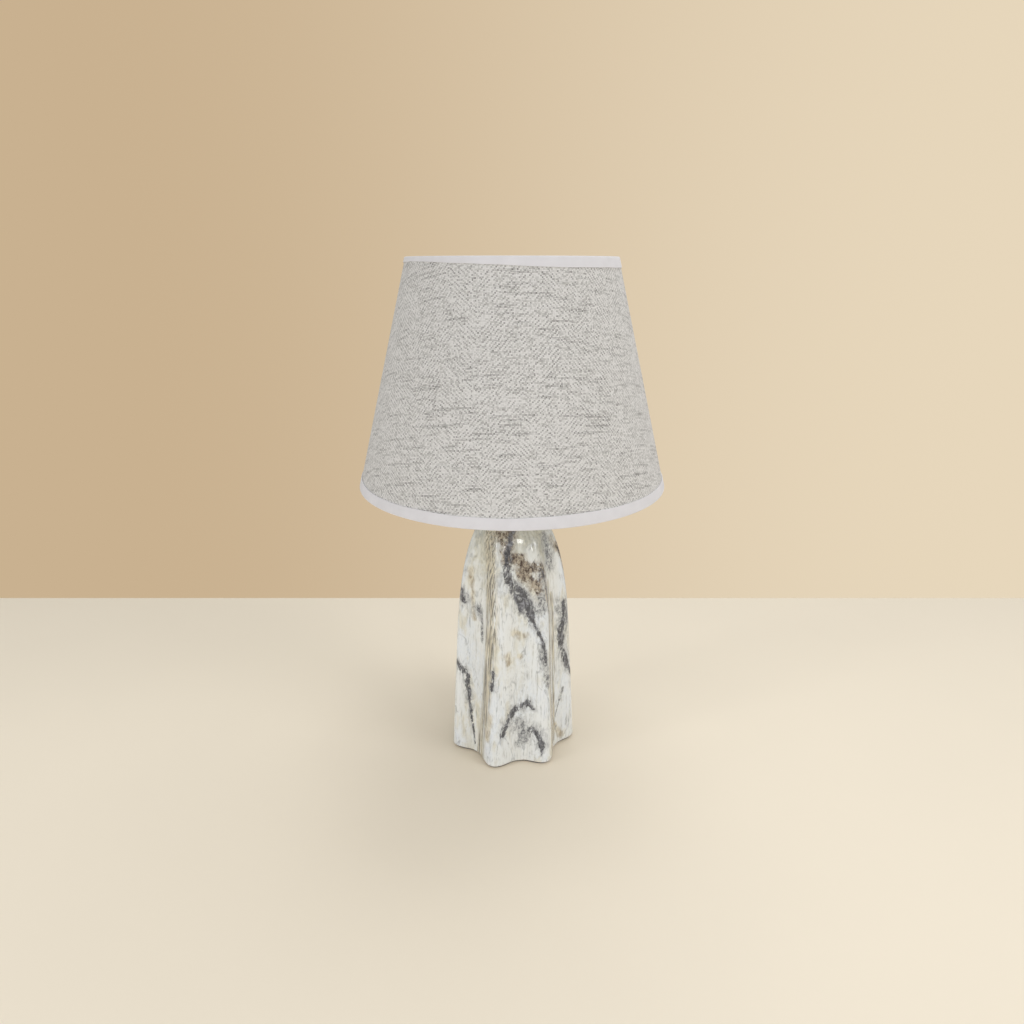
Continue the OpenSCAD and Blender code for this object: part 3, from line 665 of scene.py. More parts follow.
# Veins of the front of the glaze, each a run of (bearing from the front in degrees, height above the
# foot rim, half width) down the side
VEINS = {
    "charcoal": [
        [(-6, 170, 2.5), (-15, 158, 3.5), (-15, 146, 4), (-10, 136, 4.5), (2, 130, 5), (10, 121, 4),
         (14, 111, 3), (19, 102, 2), (24, 91, 1.4), (26, 78, 1)],
        [(26, 146, 1.8), (33, 132, 1.6), (34, 120, 1.6), (37, 104, 1)],
        [(-8, 134, 2.5), (-3, 124, 2.5), (3, 116, 2)],
        [(8, 47, 3.5), (-6, 41, 3.5), (-13, 33, 3), (-18, 24, 2)],
        [(8, 46, 2.2), (15, 42, 1.4)],
        [(11, 27, 3.6), (18, 22, 4.2), (21, 15, 2.6), (20, 6, 0.8)],
        [(-81, 122, 3), (-75, 124, 2), (-72, 116, 3)],
        [(-54, 112, 3)],
        [(-76, 68, 3.6), (-65, 61, 2.4), (-62, 40, 2.2), (-58, 22, 1.6), (-54, 6, 0.8)],
        [(-26, 74, 1.2), (-27, 60, 1.6)],
        [(71, 112, 2), (67, 100, 4), (63, 88, 3.4), (66, 75, 4), (71, 61, 3), (78, 49, 1.4)],
        [(54, 15, 1.6)],
    ],
    "umber": [
        [(-10, 168, 3.5), (-17, 156, 3.4), (-14, 148, 2.5)],
        [(-8, 152, 3), (4, 151, 3.4), (12, 145, 5), (25, 146, 3.6), (34, 137, 3)],
        [(8, 142, 5), (16, 137, 4.5), (20, 131, 3)],
        [(34, 132, 2.2), (33, 122, 1.6)],
        [(-28, 167, 2.5), (-22, 162, 1.5)],
        [(73, 153, 2), (78, 139, 2), (78, 128, 1.2)],
    ],
    "tan": [
        [(-67, 140, 2), (-64, 126, 2), (-59, 104, 1.5)],
        [(-5, 100, 3.6), (5, 98, 3.4)],
        [(-13, 84, 3), (-12, 78, 2)],
        [(1, 82, 2.5)],
        [(64, 158, 3.5), (70, 150, 2)],
        [(51, 17, 3), (60, 7, 4)],
        [(-28, 40, 2.5), (-32, 20, 2)],
        [(5, 150, 2), (22, 122, 4)],
    ],
    "grey": [
        [(-2, 128, 5), (9, 120, 8), (21, 117, 6), (26, 128, 7), (30, 142, 5)],
        [(52, 158, 6), (54, 140, 5)],
        [(-1, 30, 6), (5, 22, 6), (0, 15, 4)],
        [(69, 106, 7), (70, 96, 4)],
        [(-54, 112, 5), (-47, 104, 2), (-46, 90, 1.4)],
        [(65, 44, 1), (59, 33, 1), (51, 23, 0.8)],
        [(-74, 118, 5)],
        [(24, 86, 3), (28, 60, 2.5)],
    ],
    "stripe": [
        [(-44, 166, 5), (-35, 145, 5), (-30, 112, 5), (-32, 74, 5), (-38, 34, 5), (-45, 2, 5)],
        [(42, 130, 3.5), (36, 80, 3.5), (36, 40, 3.5), (37, 4, 3.5)],
        [(52, 120, 2.5), (50, 60, 2.5), (45, 8, 2.5)],
    ],
}


def rear_veins():
    """The veins of the sides that face away, drawn the same way by seeded chance: each starts at a
    height, runs down with a slow drift and thins to nothing."""
    chance = np.random.default_rng(23)
    veins = {kind: [] for kind in VEINS}
    plan = [("charcoal", 15, 4.2), ("grey", 10, 6.5), ("umber", 8, 4.2), ("tan", 10, 3.6),
            ("stripe", 5, 4.5)]
    for kind, count, widest in plan:
        for i in range(count):
            bearing = 92 + (i + chance.uniform(0.1, 0.9)) * 176 / count
            top = chance.uniform(40, 168) if kind != "umber" else chance.uniform(115, 168)
            if kind == "stripe":
                top = 168
            length = chance.uniform(25, 75) if kind != "stripe" else 160
            steps = 6
            drift = np.cumsum(chance.normal(0, 4, steps)) * (0.3 if kind == "stripe" else 1)
            width = widest * chance.uniform(0.6, 1) * np.array([0.6, 1, 0.9, 0.7, 0.45, 0.2])
            if kind == "stripe":
                width = np.full(steps, widest)
            heights = np.maximum(top - np.linspace(0, length, steps), 4)
            veins[kind].append(list(zip(bearing + drift, heights, width)))
    return veins


def inside_vein(bearing, z, veins):
    """How far each point lies inside the nearest vein: 1 on its middle line, 0 at its edge and below
    0 outside. Distances are measured on the unrolled side, bearing times radius against height."""
    best = np.full(len(z), -2.0)
    girth = np.maximum(tip_at(z) - FLUTE_DEPTH / 2, 12)
    for vein in veins:
        runs = list(zip(vein[:-1], vein[1:])) or [(vein[0], vein[0])]
        for (b0, z0, w0), (b1, z1, w1) in runs:
            middle = math.radians((b0 + b1) / 2)
            away = (bearing - middle + math.pi) % (2 * math.pi) - math.pi
            x = away * girth
            half = math.radians(b1 - b0) / 2 * girth
            dx, dz = 2 * half, z1 - z0
            length = np.maximum(dx ** 2 + dz ** 2, 1e-6)
            t = np.clip(((x + half) * dx + (z - z0) * dz) / length, 0, 1)
            distance = np.hypot(x + half - t * dx, z - z0 - t * dz)
            best = np.maximum(best, 1 - distance / (w0 + (w1 - w0) * t))
    return best


def paint_glaze(mesh):
    """Writes the glaze's attributes: the depth inside each kind of vein, how far into a flute and up
    the crown each point lies, and whether it is glazed."""
    co = np.zeros(len(mesh.vertices) * 3, np.float32)
    mesh.vertices.foreach_get("co", co)
    x, y, z = co.reshape(-1, 3).T.astype(float) / MM
    z = z - FOOT_Z
    bearing = np.arctan2(x, -y)
    r = np.hypot(x, y)
    inward = body_r(np.clip(z, 0, BODY_H), bearing) - r
    glazed = ((inward < 1.2) & (z > 0.7)) | ((z > BODY_H - 0.1) & (r > CENTRE_HOLE_R + 0.5))
    fields = {"glazed": glazed.astype(float), "hollow": 1 - lobe_wave(bearing),
              "crown": np.clip((z - 105) / 60, 0, 1)}
    rear = rear_veins()
    for kind, veins in VEINS.items():
        fields[kind] = inside_vein(bearing, z, veins + rear[kind])
    for kind, values in fields.items():
        layer = mesh.attributes.new(kind, "FLOAT", "POINT")
        layer.data.foreach_set("value", values.astype(np.float32))


def drill(target, radius, start, end):
    """Cuts a round hole along +Y at the cord inlet's height, by an exact boolean that is applied."""
    # Half a step of turn keeps the cutter's corners off the wall's own column of points
    corners = 48
    angle = (np.arange(corners) + 0.5) * 2 * math.pi / corners
    ring = np.stack([radius * np.cos(angle), 0 * angle, INLET_Z + radius * np.sin(angle)], -1)
    rows = [ring * (0, 0, 0) + (0, start, INLET_Z), ring + (0, start, 0), ring + (0, end, 0),
            ring * (0, 0, 0) + (0, end, INLET_Z)]
    mesh = write_mesh("inlet_cutter", np.stack(rows), wrap_rows=False, poles=True)
    cutter = bpy.data.objects.new("inlet_cutter", mesh)
    bpy.context.scene.collection.objects.link(cutter)
    cut = target.modifiers.new("cord_inlet", "BOOLEAN")
    cut.operation = "DIFFERENCE"
    cut.solver = "EXACT"
    cut.object = cutter
    bpy.context.view_layer.update()
    result = target.evaluated_get(bpy.context.evaluated_depsgraph_get())
    whole = bpy.data.meshes.new_from_object(result)
    target.modifiers.clear()
    target.data = whole
    bpy.data.objects.remove(cutter)
    return smoothed(whole)


class LampBase(bpy.types.PropertyGroup):
    glaze_white: bpy.props.FloatVectorProperty(
        name="Glaze white", description="The bluish white of the glaze", subtype="COLOR", size=4,
        default=linear("E6E8E6"), min=0, max=1)
    glaze_charcoal: bpy.props.FloatVectorProperty(
        name="Glaze charcoal", description="The darkest of the veins", subtype="COLOR", size=4,
        default=linear("48484C"), min=0, max=1)


class LampShade(bpy.types.PropertyGroup):
    thread_spacing: bpy.props.FloatProperty(
        name="Thread spacing", description="Distance between the cover's threads, in millimetres",
        default=0.84, min=0.5, max=3)
    tape_width: bpy.props.FloatProperty(
        name="Tape width", description="How far the edging shows on the outside, in millimetres",
        default=BOTTOM_TAPE_TOP - SHADE_Z, min=3, max=12)
    tape_colour: bpy.props.FloatVectorProperty(
        name="Tape colour", description="The white of the edging", subtype="COLOR", size=4,
        default=linear("DBD9DB"), min=0, max=1)


class LampStage(bpy.types.PropertyGroup):
    floor_colour: bpy.props.FloatVectorProperty(
        name="Floor", description="Colour of the table top", subtype="COLOR", size=4,
        default=linear("EFE4D0"), min=0, max=1)
    # The backdrop is darker to the left by painted shade and lighter to the right by painted light
    backdrop_shaded: bpy.props.FloatVectorProperty(
        name="Backdrop, left", description="Darker side of the backdrop", subtype="COLOR", size=4,
        default=linear("C9B190"), min=0, max=1)
    backdrop_lit: bpy.props.FloatVectorProperty(
        name="Backdrop, right", description="Lighter side of the backdrop", subtype="COLOR", size=4,
        default=linear("E7D7BC"), min=0, max=1)
    lens: bpy.props.FloatProperty(
        name="Lens", description="Focal length of the camera, in millimetres",
        default=25.5, min=15, max=120)


# The camera stands in front, a little to the left, and looks down. These are metres and radians
CAMERA_HEADING = math.radians(-8.1)
CAMERA_PITCH = math.radians(18.85)
CAMERA_REACH = 0.468
CAMERA_HEIGHT = 0.3356
# The table top's half width, and its front and rear edge from the lamp, in millimetres
TABLE_HALF_WIDTH = 1500
TABLE_FRONT = -1100
TABLE_REAR = 232


class OBJECT_OT_lamp_stage(bpy.types.Operator):
    """Camera, a pale table top, a beige backdrop and soft studio lights"""
    bl_idname = "object.lamp_stage"
    bl_label = "Stage"

    def execute(self, context):
        settings = context.scene.lamp_stage
        camera = bpy.data.cameras.new("camera")
        camera.lens = settings.lens
        camera.clip_start = 0.01
        holder = bpy.data.objects.new("camera", camera)
        holder.location = upright(CAMERA_REACH, CAMERA_HEADING, CAMERA_HEIGHT)
        holder.rotation_euler = (math.pi / 2 - CAMERA_PITCH, 0, CAMERA_HEADING)
        context.scene.collection.objects.link(holder)
        context.scene.camera = holder
        self.table_top(context, settings)
        self.backdrop(context, settings)
        self.lights(context)
        context.scene.view_settings.view_transform = "Standard"
        return {"FINISHED"}

    def table_top(self, context, settings):
        """A wide matt top whose straight rear edge lies square to the camera's heading."""
        across = np.array([math.cos(CAMERA_HEADING), math.sin(CAMERA_HEADING), 0])
        away = np.array([-math.sin(CAMERA_HEADING), math.cos(CAMERA_HEADING), 0])
        u = np.linspace(-TABLE_HALF_WIDTH, TABLE_HALF_WIDTH, 13)[None, :, None]
        v = np.linspace(TABLE_FRONT, TABLE_REAR, 13)[:, None, None]
        mesh = write_mesh("table_top", u * across + v * away, wrap_rows=False, wrap_columns=False)
        if mesh.polygons[0].normal.z < 0:
            mesh.flip_normals()
        floor = bpy.data.objects.new("table_top", mesh)
        material, tree = new_material("matt_painted_board")
        place = add(tree, "ShaderNodeTexCoord").outputs["Object"]
        noise = add(tree, "ShaderNodeTexNoise", {"Vector": place, "Scale": 6.0, "Detail": 2.0})
        colour = add(tree, "ShaderNodeMix", {
            0: noise, 6: tuple(c * 0.96 for c in settings.floor_colour[:3]) + (1,),
            7: tuple(settings.floor_colour)}, data_type="RGBA")
        shader = add(tree, "ShaderNodeBsdfPrincipled", {"Base Color": colour, "Roughness": 0.6})
        add(tree, "ShaderNodeOutputMaterial", {"Surface": shader})
        mesh.materials.append(material)
        context.scene.collection.objects.link(floor)

    def backdrop(self, context, settings):
        """The world: seen directly it is a beige wall, darker to the left with painted shade, and it lights
        as pale grey.
        """
        world = bpy.data.worlds.new("backdrop")
        world.use_nodes = True
        tree = world.node_tree
        tree.nodes.clear()
        facing = add(tree, "ShaderNodeTexCoord").outputs["Generated"]
        axes = add(tree, "ShaderNodeSeparateXYZ", {0: facing})
        # Painted shade and light: the wall seen directly darkens to the left and brightens to the right
        side = add(tree, "ShaderNodeMapRange", {
            "Value": axes.outputs[0], "From Min": -0.35, "From Max": 0.7}, interpolation_type="SMOOTHSTEP")
        wall = add(tree, "ShaderNodeMix", {
            0: side, 6: tuple(settings.backdrop_shaded), 7: tuple(settings.backdrop_lit)}, data_type="RGBA")
        seen = add(tree, "ShaderNodeBackground", {0: wall.outputs[2], 1: 1.0})
        upward = add(tree, "ShaderNodeMapRange", {
            "Value": axes.outputs[2], "From Min": -0.2, "From Max": 1.0, "To Min": 0.40, "To Max": 0.55})
        lit = add(tree, "ShaderNodeBackground", {0: linear("F4F3F0"), 1: upward})
        path = add(tree, "ShaderNodeLightPath")
        both = add(tree, "ShaderNodeMixShader", {0: path.outputs["Is Camera Ray"], 1: lit, 2: seen})
        add(tree, "ShaderNodeOutputWorld", {"Surface": both})
        context.scene.world = world

    def lights(self, context):
        """Softboxes on the right, the left, in front and above, and two small windows that the glaze
        mirrors. Each has its place, width and height in metres, its power in watts and its colour."""
        boxes = [
            ("key", (0.95, -0.80, 0.85), 0.6, 0.6, 5.8, "FAFBFF"),
            ("fill", (-1.15, -0.75, 0.5), 1.0, 0.9, 5.2, "F4F7FF"),
            ("front", (-0.1, -1.6, 0.55), 0.9, 0.6, 1.4, "F6F9FF"),
            ("top", (0.25, 0.35, 1.2), 0.9, 0.6, 5.2, "FFFFFF"),
            ("window_left", (-1.10, -0.35, 0.56), 0.16, 0.22, 1.1, "FFFFFF"),
            ("window_right", (0.22, -1.10, 0.52), 0.16, 0.22, 1.1, "FFFFFF"),
        ]
        for name, place, width, height, power, code in boxes:
            light = bpy.data.lights.new(name, "AREA")
            light.shape = "RECTANGLE"
            light.size = width
            light.size_y = height
            light.energy = power
            light.color = linear(code)[:3]
            lamp = bpy.data.objects.new(name, light)
            lamp.location = place
            aim = Vector((0, 0, 0.18)) - lamp.location
            lamp.rotation_euler = aim.to_track_quat("-Z", "Y").to_euler()
            context.scene.collection.objects.link(lamp)


class OBJECT_OT_lamp_base(bpy.types.Operator):
    """The lobed stoneware base in its marbled glaze, drilled for the cord inlet"""
    bl_idname = "object.lamp_base"
    bl_label = "Ceramic base"

    def execute(self, context):
        mesh = write_mesh("marbled_base", body_points())
        material = reactive_glaze(context.scene.lamp_base)
        base = piece(mesh, "base", "ceramic_body", "ceramic_body", material)
        # The drill starts in the recess, short of the wall, and comes out past the rear lobe's tip
        recess_r = body_r(0, REAR) - FOOT_ROUND - WALL
        mesh = drill(base, INLET_HOLE_R, recess_r - 3, TIP_R + 4)
        mesh.materials.clear()
        mesh.materials.append(material)
        paint_glaze(mesh)
        return {"FINISHED"}


class OBJECT_OT_lamp_foot(bpy.types.Operator):
    """The felt under the foot and the rubber bush of the cord inlet"""
    bl_idname = "object.lamp_foot"
    bl_label = "Felt and inlet bush"

    def execute(self, context):
        columns = 40 * LOBES
        bearing = full_turn(columns)
        inset = 1.6
        edge = body_r(FOOT_ROUND, bearing) - inset
        # Its section as (share of the edge's radius, height), from the middle below to the middle above
        rows = [(0, 0), (0.5, 0), (0.985, 0), (1, 0.25)]
        rows += [(share, FOOT_Z - z) for share, z in rows[::-1]]
        share, z = (np.array(rows, float)[:, k, None] for k in range(2))
        mesh = write_mesh("felt_foot", upright(share * edge, bearing, z), wrap_rows=False, poles=True)
        felt = piece(mesh, "base", "felt", "felt_pad", needle_felt())
        self.inlet_bush()
        return {"FINISHED"}

    def inlet_bush(self):
        """A lathed rubber bush, turned to lie along +Y: its section is (radius, distance along)."""
        inner, outer = extent("cord_grommet", 1)
        flange = outer - 1.2
        flange_r = INLET_HOLE_R + 1.8
        stem_r = INLET_HOLE_R - 0.1
        outline = [(INLET_R, inner), (stem_r, inner), (stem_r, flange), (flange_r, flange),
                   (flange_r, outer), (INLET_R, outer)]
        profile = softened(np.array(outline, float), 0.45)
        angle = full_turn(64)
        r, along = profile[:, :1], profile[:, 1:]
        points = np.stack([r * np.cos(angle), along + 0 * angle, INLET_Z + r * np.sin(angle)], -1)
        piece(write_mesh("inlet_bush", points), "base", "rubber", "cord_grommet")


class OBJECT_OT_lamp_neck(bpy.types.Operator):
    """The turned neck cap between the crown and the holder, and the hardware on the centre tube"""
    bl_idname = "object.lamp_neck"
    bl_label = "Neck and tube"

    def execute(self, context):
        bore = TUBE_R + 0.1
        tall = NECK_TOP - NECK_Z
        throat = 9.0
        # Above a plain rim, 0.3 of its height, the neck draws in to the throat on a quarter ellipse
        sweep = np.linspace(0, math.pi / 2, 10)[1:]
        shoulder = [(throat + (NECK_R - throat) * (1 - math.sin(a)),
                     NECK_Z + tall * (1 - 0.7 * math.cos(a))) for a in sweep]
        outline = [(bore, NECK_Z), (NECK_R, NECK_Z), (NECK_R, NECK_Z + 0.3 * tall), *shoulder,
                   (bore, NECK_TOP)]
        piece(turned("turned_neck", outline, 128, 0.2), "base", "nickel_steel", "neck_cap")
        finish_nodes("rubber", "rubber_washer", "neck_gasket")
        finish_nodes("zinc_steel", "base_nut", "steel_washer", "lock_nut", "locking_screw",
                     "terminal_screws")
        finish_nodes("brass", "threaded_tube", "centre_contact", "side_contact")
        return {"FINISHED"}


class OBJECT_OT_lamp_holder(bpy.types.Operator):
    """The E27 lamp holder: ribbed cap, threaded skirt, rolled screw shell and what it holds"""
    bl_idname = "object.lamp_holder"
    bl_label = "Lamp holder"

    def execute(self, context):
        bore = TUBE_R + THREAD_GAP
        boss_r = 9
        boss_top = HOLDER_Z + 9
        wall = 1.8
        spigot_wall = 1.5
        cap_r = SKIRT_R - 0.5
        skirt_bore = SKIRT_R - 2.7
        spigot_r = skirt_bore - 0.1
        floor_z = boss_top + 2.2
        ceiling = SKIRT_Z - wall
        outline = [(bore, HOLDER_Z), (boss_r, HOLDER_Z), (boss_r, boss_top), (cap_r - 2.5, boss_top)]
        outline += [(cap_r, boss_top + 2.5), *wall_points(cap_r, boss_top + 3.2, SKIRT_Z - 1, 1.2)]
        outline += [(cap_r, SKIRT_Z), (spigot_r, SKIRT_Z), (spigot_r, SPIGOT_TOP)]
        outline += [(spigot_r - spigot_wall, SPIGOT_TOP), (spigot_r - spigot_wall, ceiling)]
        outline += [(cap_r - wall, ceiling - 1.5), (cap_r - wall, floor_z), (bore, floor_z)]

        def grip(r, z, angle):
            """Thirty-six shallow finger flutes on the cap's wall."""
            fade = np.clip(np.minimum(z - boss_top - 3, SKIRT_Z - 1 - z) / 1.5, 0, 1)
            flutes = -0.35 * fade * np.abs(np.sin(18 * angle)) ** 0.5
            return np.where(np.abs(r - cap_r) < 0.01, flutes, 0)

        piece(turned("holder_cup", outline, 288, 0.3, grip), "base", "holder_plastic", "holder_cap")
        # The flange ends where the shade's washer lies on it
        thread_z = WASHER_Z + 1.2
        outline = [(skirt_bore, SKIRT_Z), (FLANGE_R, SKIRT_Z), (FLANGE_R, WASHER_Z), (SKIRT_R, WASHER_Z)]
        outline += wall_points(SKIRT_R, thread_z, SKIRT_TOP - 1, 0.4)
        outline += [(SKIRT_R - 0.8, SKIRT_TOP), (skirt_bore, SKIRT_TOP)]
        cut = thread(SKIRT_R, 0.6, RING_PITCH, thread_z, SKIRT_TOP - 1)
        piece(turned("threaded_skirt", outline, 128, 0.15, cut), "base", "holder_plastic", "holder_skirt")
        # The shell is rolled outwards from the radius that the lamp's cap clears
        groove_r = CAP_R + LAMP_GAP + LAMP_THREAD_DEPTH
        outline = wall_points(SHELL_R, SHELL_Z, SHELL_TOP, 4)
        outline += wall_points(groove_r, SHELL_TOP, SHELL_Z, 0.45)
        cut = thread(groove_r, -LAMP_THREAD_DEPTH, LAMP_PITCH, SHELL_Z, SHELL_TOP, inward=True)
        piece(turned("rolled_screw_shell", outline, 96, 0.05, cut), "base", "brass", "screw_shell")
        finish_nodes("steatite", "terminal_block")
        return {"FINISHED"}


class OBJECT_OT_lamp_ring(bpy.types.Operator):
    """The ring that clamps the shade's fitter on the holder, with eighteen finger grooves"""
    bl_idname = "object.lamp_ring"
    bl_label = "Clamp ring"

    def execute(self, context):
        rim = RING_BORE_R + 8
        # The grooves stop above a plain foot
        foot_h = 2
        outline = [(RING_BORE_R, RING_Z), (rim, RING_Z), (rim, RING_Z + foot_h)]
        outline += wall_points(rim, RING_Z + 2.4, RING_TOP - 0.6, 0.8)
        outline += [(rim, RING_TOP), (RING_BORE_R, RING_TOP)]
        outline += wall_points(RING_BORE_R, RING_TOP - 0.5, RING_Z + 0.5, 0.5)

        def grooves(r, z, angle):
            """A scoop every 20 degrees in the rim above its foot, deepest in its own middle."""
            fade = np.clip((z - RING_Z - foot_h) / 1.2, 0, 1)
            scoop = np.clip(np.cos(18 * angle), 0, 1) ** 0.8
            return np.where(r > rim - 0.5, -0.8 * fade * scoop, 0)

        mesh = turned("grooved_clamp_ring", outline, 360, 0.3, grooves)
        piece(mesh, "clamp_ring", "holder_plastic", "clamp_ring")
        return {"FINISHED"}


def cone_r(z):
    """Radius of the cover's outer face at a height."""
    return CONE_R + CONE_SLOPE * (z - SHADE_Z)


def over_lap(bearing):
    """How far the tapes have risen over the cover's lap: 0 on the single cloth and 1 at the rear, with
    a straight rise of a degree and a half between."""
    from_rear = np.abs((bearing - REAR + math.pi) % (2 * math.pi) - math.pi)
    return np.clip(np.degrees(TAPE_RISE_ANGLE - from_rear) / 1.5 + 0.5, 0, 1)


def cone_points(z, inset, bearing):
    """Points of the cone at heights and insets, both rows, round the bearings."""
    return upright(cone_r(z)[:, None] - inset, bearing, z[:, None])


def flat_grain(z, bearing):
    """Where the cone's points lay on the flat cloth, in units of 100 mm: the distance from the cone's
    apex, turned by the bearing times the sine of the cone's half angle."""
    from_apex = cone_r(z)[:, None] / math.sin(HALF_ANGLE)
    return upright(from_apex, bearing * math.sin(HALF_ANGLE), 0)[..., :2] / 100


class OBJECT_OT_lamp_cover(bpy.types.Operator):
    """The linen cover, cut flat, rolled to a cone and lapped at the rear, with the film liner behind it"""
    bl_idname = "object.lamp_cover"
    bl_label = "Cover and liner"

    def execute(self, context):
        up = between(LINER_Z, LINER_TOP, 5)
        both_faces = np.concatenate([up, up[::-1]])
        inner_face = np.repeat([0.0, 1.0], len(up))[:, None]
        # The cloth starts just behind the lap and ends over its own start, lifted by its thickness
        bearing = np.linspace(-math.pi - LAP_ANGLE, math.pi + LAP_ANGLE, 361)
        rise = np.clip((bearing - (math.pi - 1.6 * LAP_ANGLE)) / (0.6 * LAP_ANGLE), 0, 1)
        lift = (COVER_T + 0.03) * rise * rise * (3 - 2 * rise)
        points = cone_points(both_faces, COVER_T * inner_face - lift, bearing)
        grain = flat_grain(both_faces, bearing)
        grain = np.concatenate([grain, grain[:1]])
        mesh = write_mesh("linen_cover", points, wrap_columns=False, grain=grain)
        self.close_ends(mesh, len(points), len(bearing))
        weave = linen_weave(context.scene.lamp_shade)
        cover = piece(mesh, "shade", "shade_fabric", "shade_fabric", weave)
        inset = LINER_T * inner_face + COVER_T + CLEAR
        mesh = write_mesh("film_liner", cone_points(both_faces, inset, full_turn(240)))
        piece(mesh, "shade", "liner", "shade_liner")
        # Flat, the cover is a sector of a ring round the cone's apex
        return {"FINISHED"}

    def close_ends(self, mesh, rows, columns):
        """Fills the two cut edges of the lap with a strip of faces each, so that the cloth is closed."""
        work = bmesh.new()
        work.from_mesh(mesh)
        work.verts.ensure_lookup_table()
        half = rows // 2
        for column in (0, columns - 1):
            for row in range(half - 1):
                ring = [row, row + 1, rows - 2 - row, rows - 1 - row]
                if column:
                    ring.reverse()
                work.faces.new([work.verts[k * columns + column] for k in ring])
        bmesh.ops.recalc_face_normals(work, faces=work.faces)
        work.to_mesh(mesh)
        work.free()
        smoothed(mesh)


class OBJECT_OT_lamp_tapes(bpy.types.Operator):
    """The two cotton tapes folded over the shade's edges by hand"""
    bl_idname = "object.lamp_tapes"
    bl_label = "Edging tapes"

    def execute(self, context):
        settings = context.scene.lamp_shade
        cloth = cotton_tape(settings)
        bearing = full_turn(480)
        waver = 0.25 * np.sin(3 * bearing + 1.0) + 0.15 * np.sin(7 * bearing)
        waver += 0.08 * np.sin(19 * bearing + 2)
        # The upper tape was laid unevenly: it narrows on the left of the front and widens to the right
        uneven = 0.5 + 0.5 * np.cos(bearing + math.radians(75))
        top_width = settings.tape_width - 0.6 - 3.4 * uneven ** 2.2 + 0.6 * waver
        bottom_width = settings.tape_width - 0.3 + waver
        self.tape("top_tape", SHADE_TOP, -1, top_width, bearing, cloth, "top_trim")
        self.tape("bottom_tape", SHADE_Z, 1, bottom_width, bearing, cloth, "bottom_trim")
        return {"FINISHED"}

    def tape(self, name, edge_z, way, width, bearing, cloth, node):
        """A strip folded round an edge: its section is a U of (distance out from the cone, height from
        the edge), softened at every fold and carried round, wider or narrower with the bearing."""
        span = FRAME_IN + WIRE_SPACE
        none = np.zeros_like(bearing)
        out = CLEAR + (COVER_T + 0.08) * over_lap(bearing)
        corners = [
            (out + TAPE_T, none), (out + TAPE_T, width), (out, width), (out, none + TAPE_T),
            (none - span, none + TAPE_T), (none - span, none + TAPE_INSIDE),
            (none - span - TAPE_T, none + TAPE_INSIDE), (none - span - TAPE_T, none)]
        corners = np.array(corners).transpose(0, 2, 1)
        radius = [0.9, 0.2, 0.2, 0.15, 0.15, 0.2, 0.2, 0.9]
        section = softened(corners, radius, steps=5)
        z = edge_z + way * section[..., 1]
        r = cone_r(z) + section[..., 0]
        # The grain runs on round the edge and on over the section, by the distance along each
        length = np.append(bearing, 2 * math.pi) * cone_r(edge_z)
        steps = np.linalg.norm(np.diff(section, axis=0, prepend=section[:1]), axis=-1)
        across = np.cumsum(steps, axis=0)
        across = np.hstack([across, across[:, :1]])
        across = np.vstack([across, across[-1:] + 0.3])
        grain = np.stack([np.broadcast_to(length, across.shape), across], -1) / 100
        mesh = write_mesh(name, upright(r, bearing, z), grain=grain)
        strip = piece(mesh, "shade", "trim_tape", node, cloth)


class OBJECT_OT_lamp_frame(bpy.types.Operator):
    """The shade's powder-coated frame: fitter washer, three arms and two wires"""
    bl_idname = "object.lamp_frame"
    bl_label = "Shade frame"

    def execute(self, context):
        hole = RING_BORE_R + 1
        outline = [(hole, WASHER_Z), (WASHER_R, WASHER_Z), (WASHER_R, WASHER_TOP), (hole, WASHER_TOP)]
        low = SHADE_Z + TAPE_T + CLEAR + WIRE_R
        high = SHADE_TOP - TAPE_T - CLEAR - WIRE_R
        parts = [
            (turned("fitter_plate", outline, 128, 0.3), "fitter_washer"),
            (self.hoop("lower_wire", low), "bottom_wire"),
            (self.hoop("upper_wire", high), "top_wire"),
            (self.arms(low), "fitter_arms"),
        ]
        for mesh, node in parts:
            piece(mesh, "shade", "frame_white", node)
        return {"FINISHED"}

    def hoop(self, name, z):
        """A round wire bent to a circle inside the cover: a torus of the wire's radius."""
        middle = cone_r(z) - FRAME_IN - WIRE_SPACE / 2
        section = full_turn(16)[:, None]
        r = middle + WIRE_R * np.cos(section)
        return write_mesh(name, upright(r, full_turn(192), z + WIRE_R * np.sin(section)))

    def arms(self, low):
        """Three straight arms, welded on the washer near its rim, that run down to the lower wire."""
        end_r = cone_r(low) - FRAME_IN - WIRE_SPACE / 2 - WIRE_R - CLEAR
        slope = math.atan2(WASHER_TOP - low, end_r - WASHER_R)
        weld = 2
        start_z = WASHER_TOP + WIRE_R / math.cos(slope) + weld * math.tan(slope)
        share = np.linspace(0, 1, 30)[:, None]
        meshes = []
        for i in range(3):
            a = math.radians(90 + 120 * i)
            start = np.array([(WASHER_R - weld) * math.cos(a), (WASHER_R - weld) * math.sin(a), start_z])
            end = np.array([end_r * math.cos(a), end_r * math.sin(a), low])
            along = (end - start) / np.linalg.norm(end - start)
            # The domed ends add a wire's radius each
            path = start + along * WIRE_R + share * (end - start - 2 * along * WIRE_R)
            meshes.append(swept("arm", path, WIRE_R))
        return joined("shade_arms", meshes)


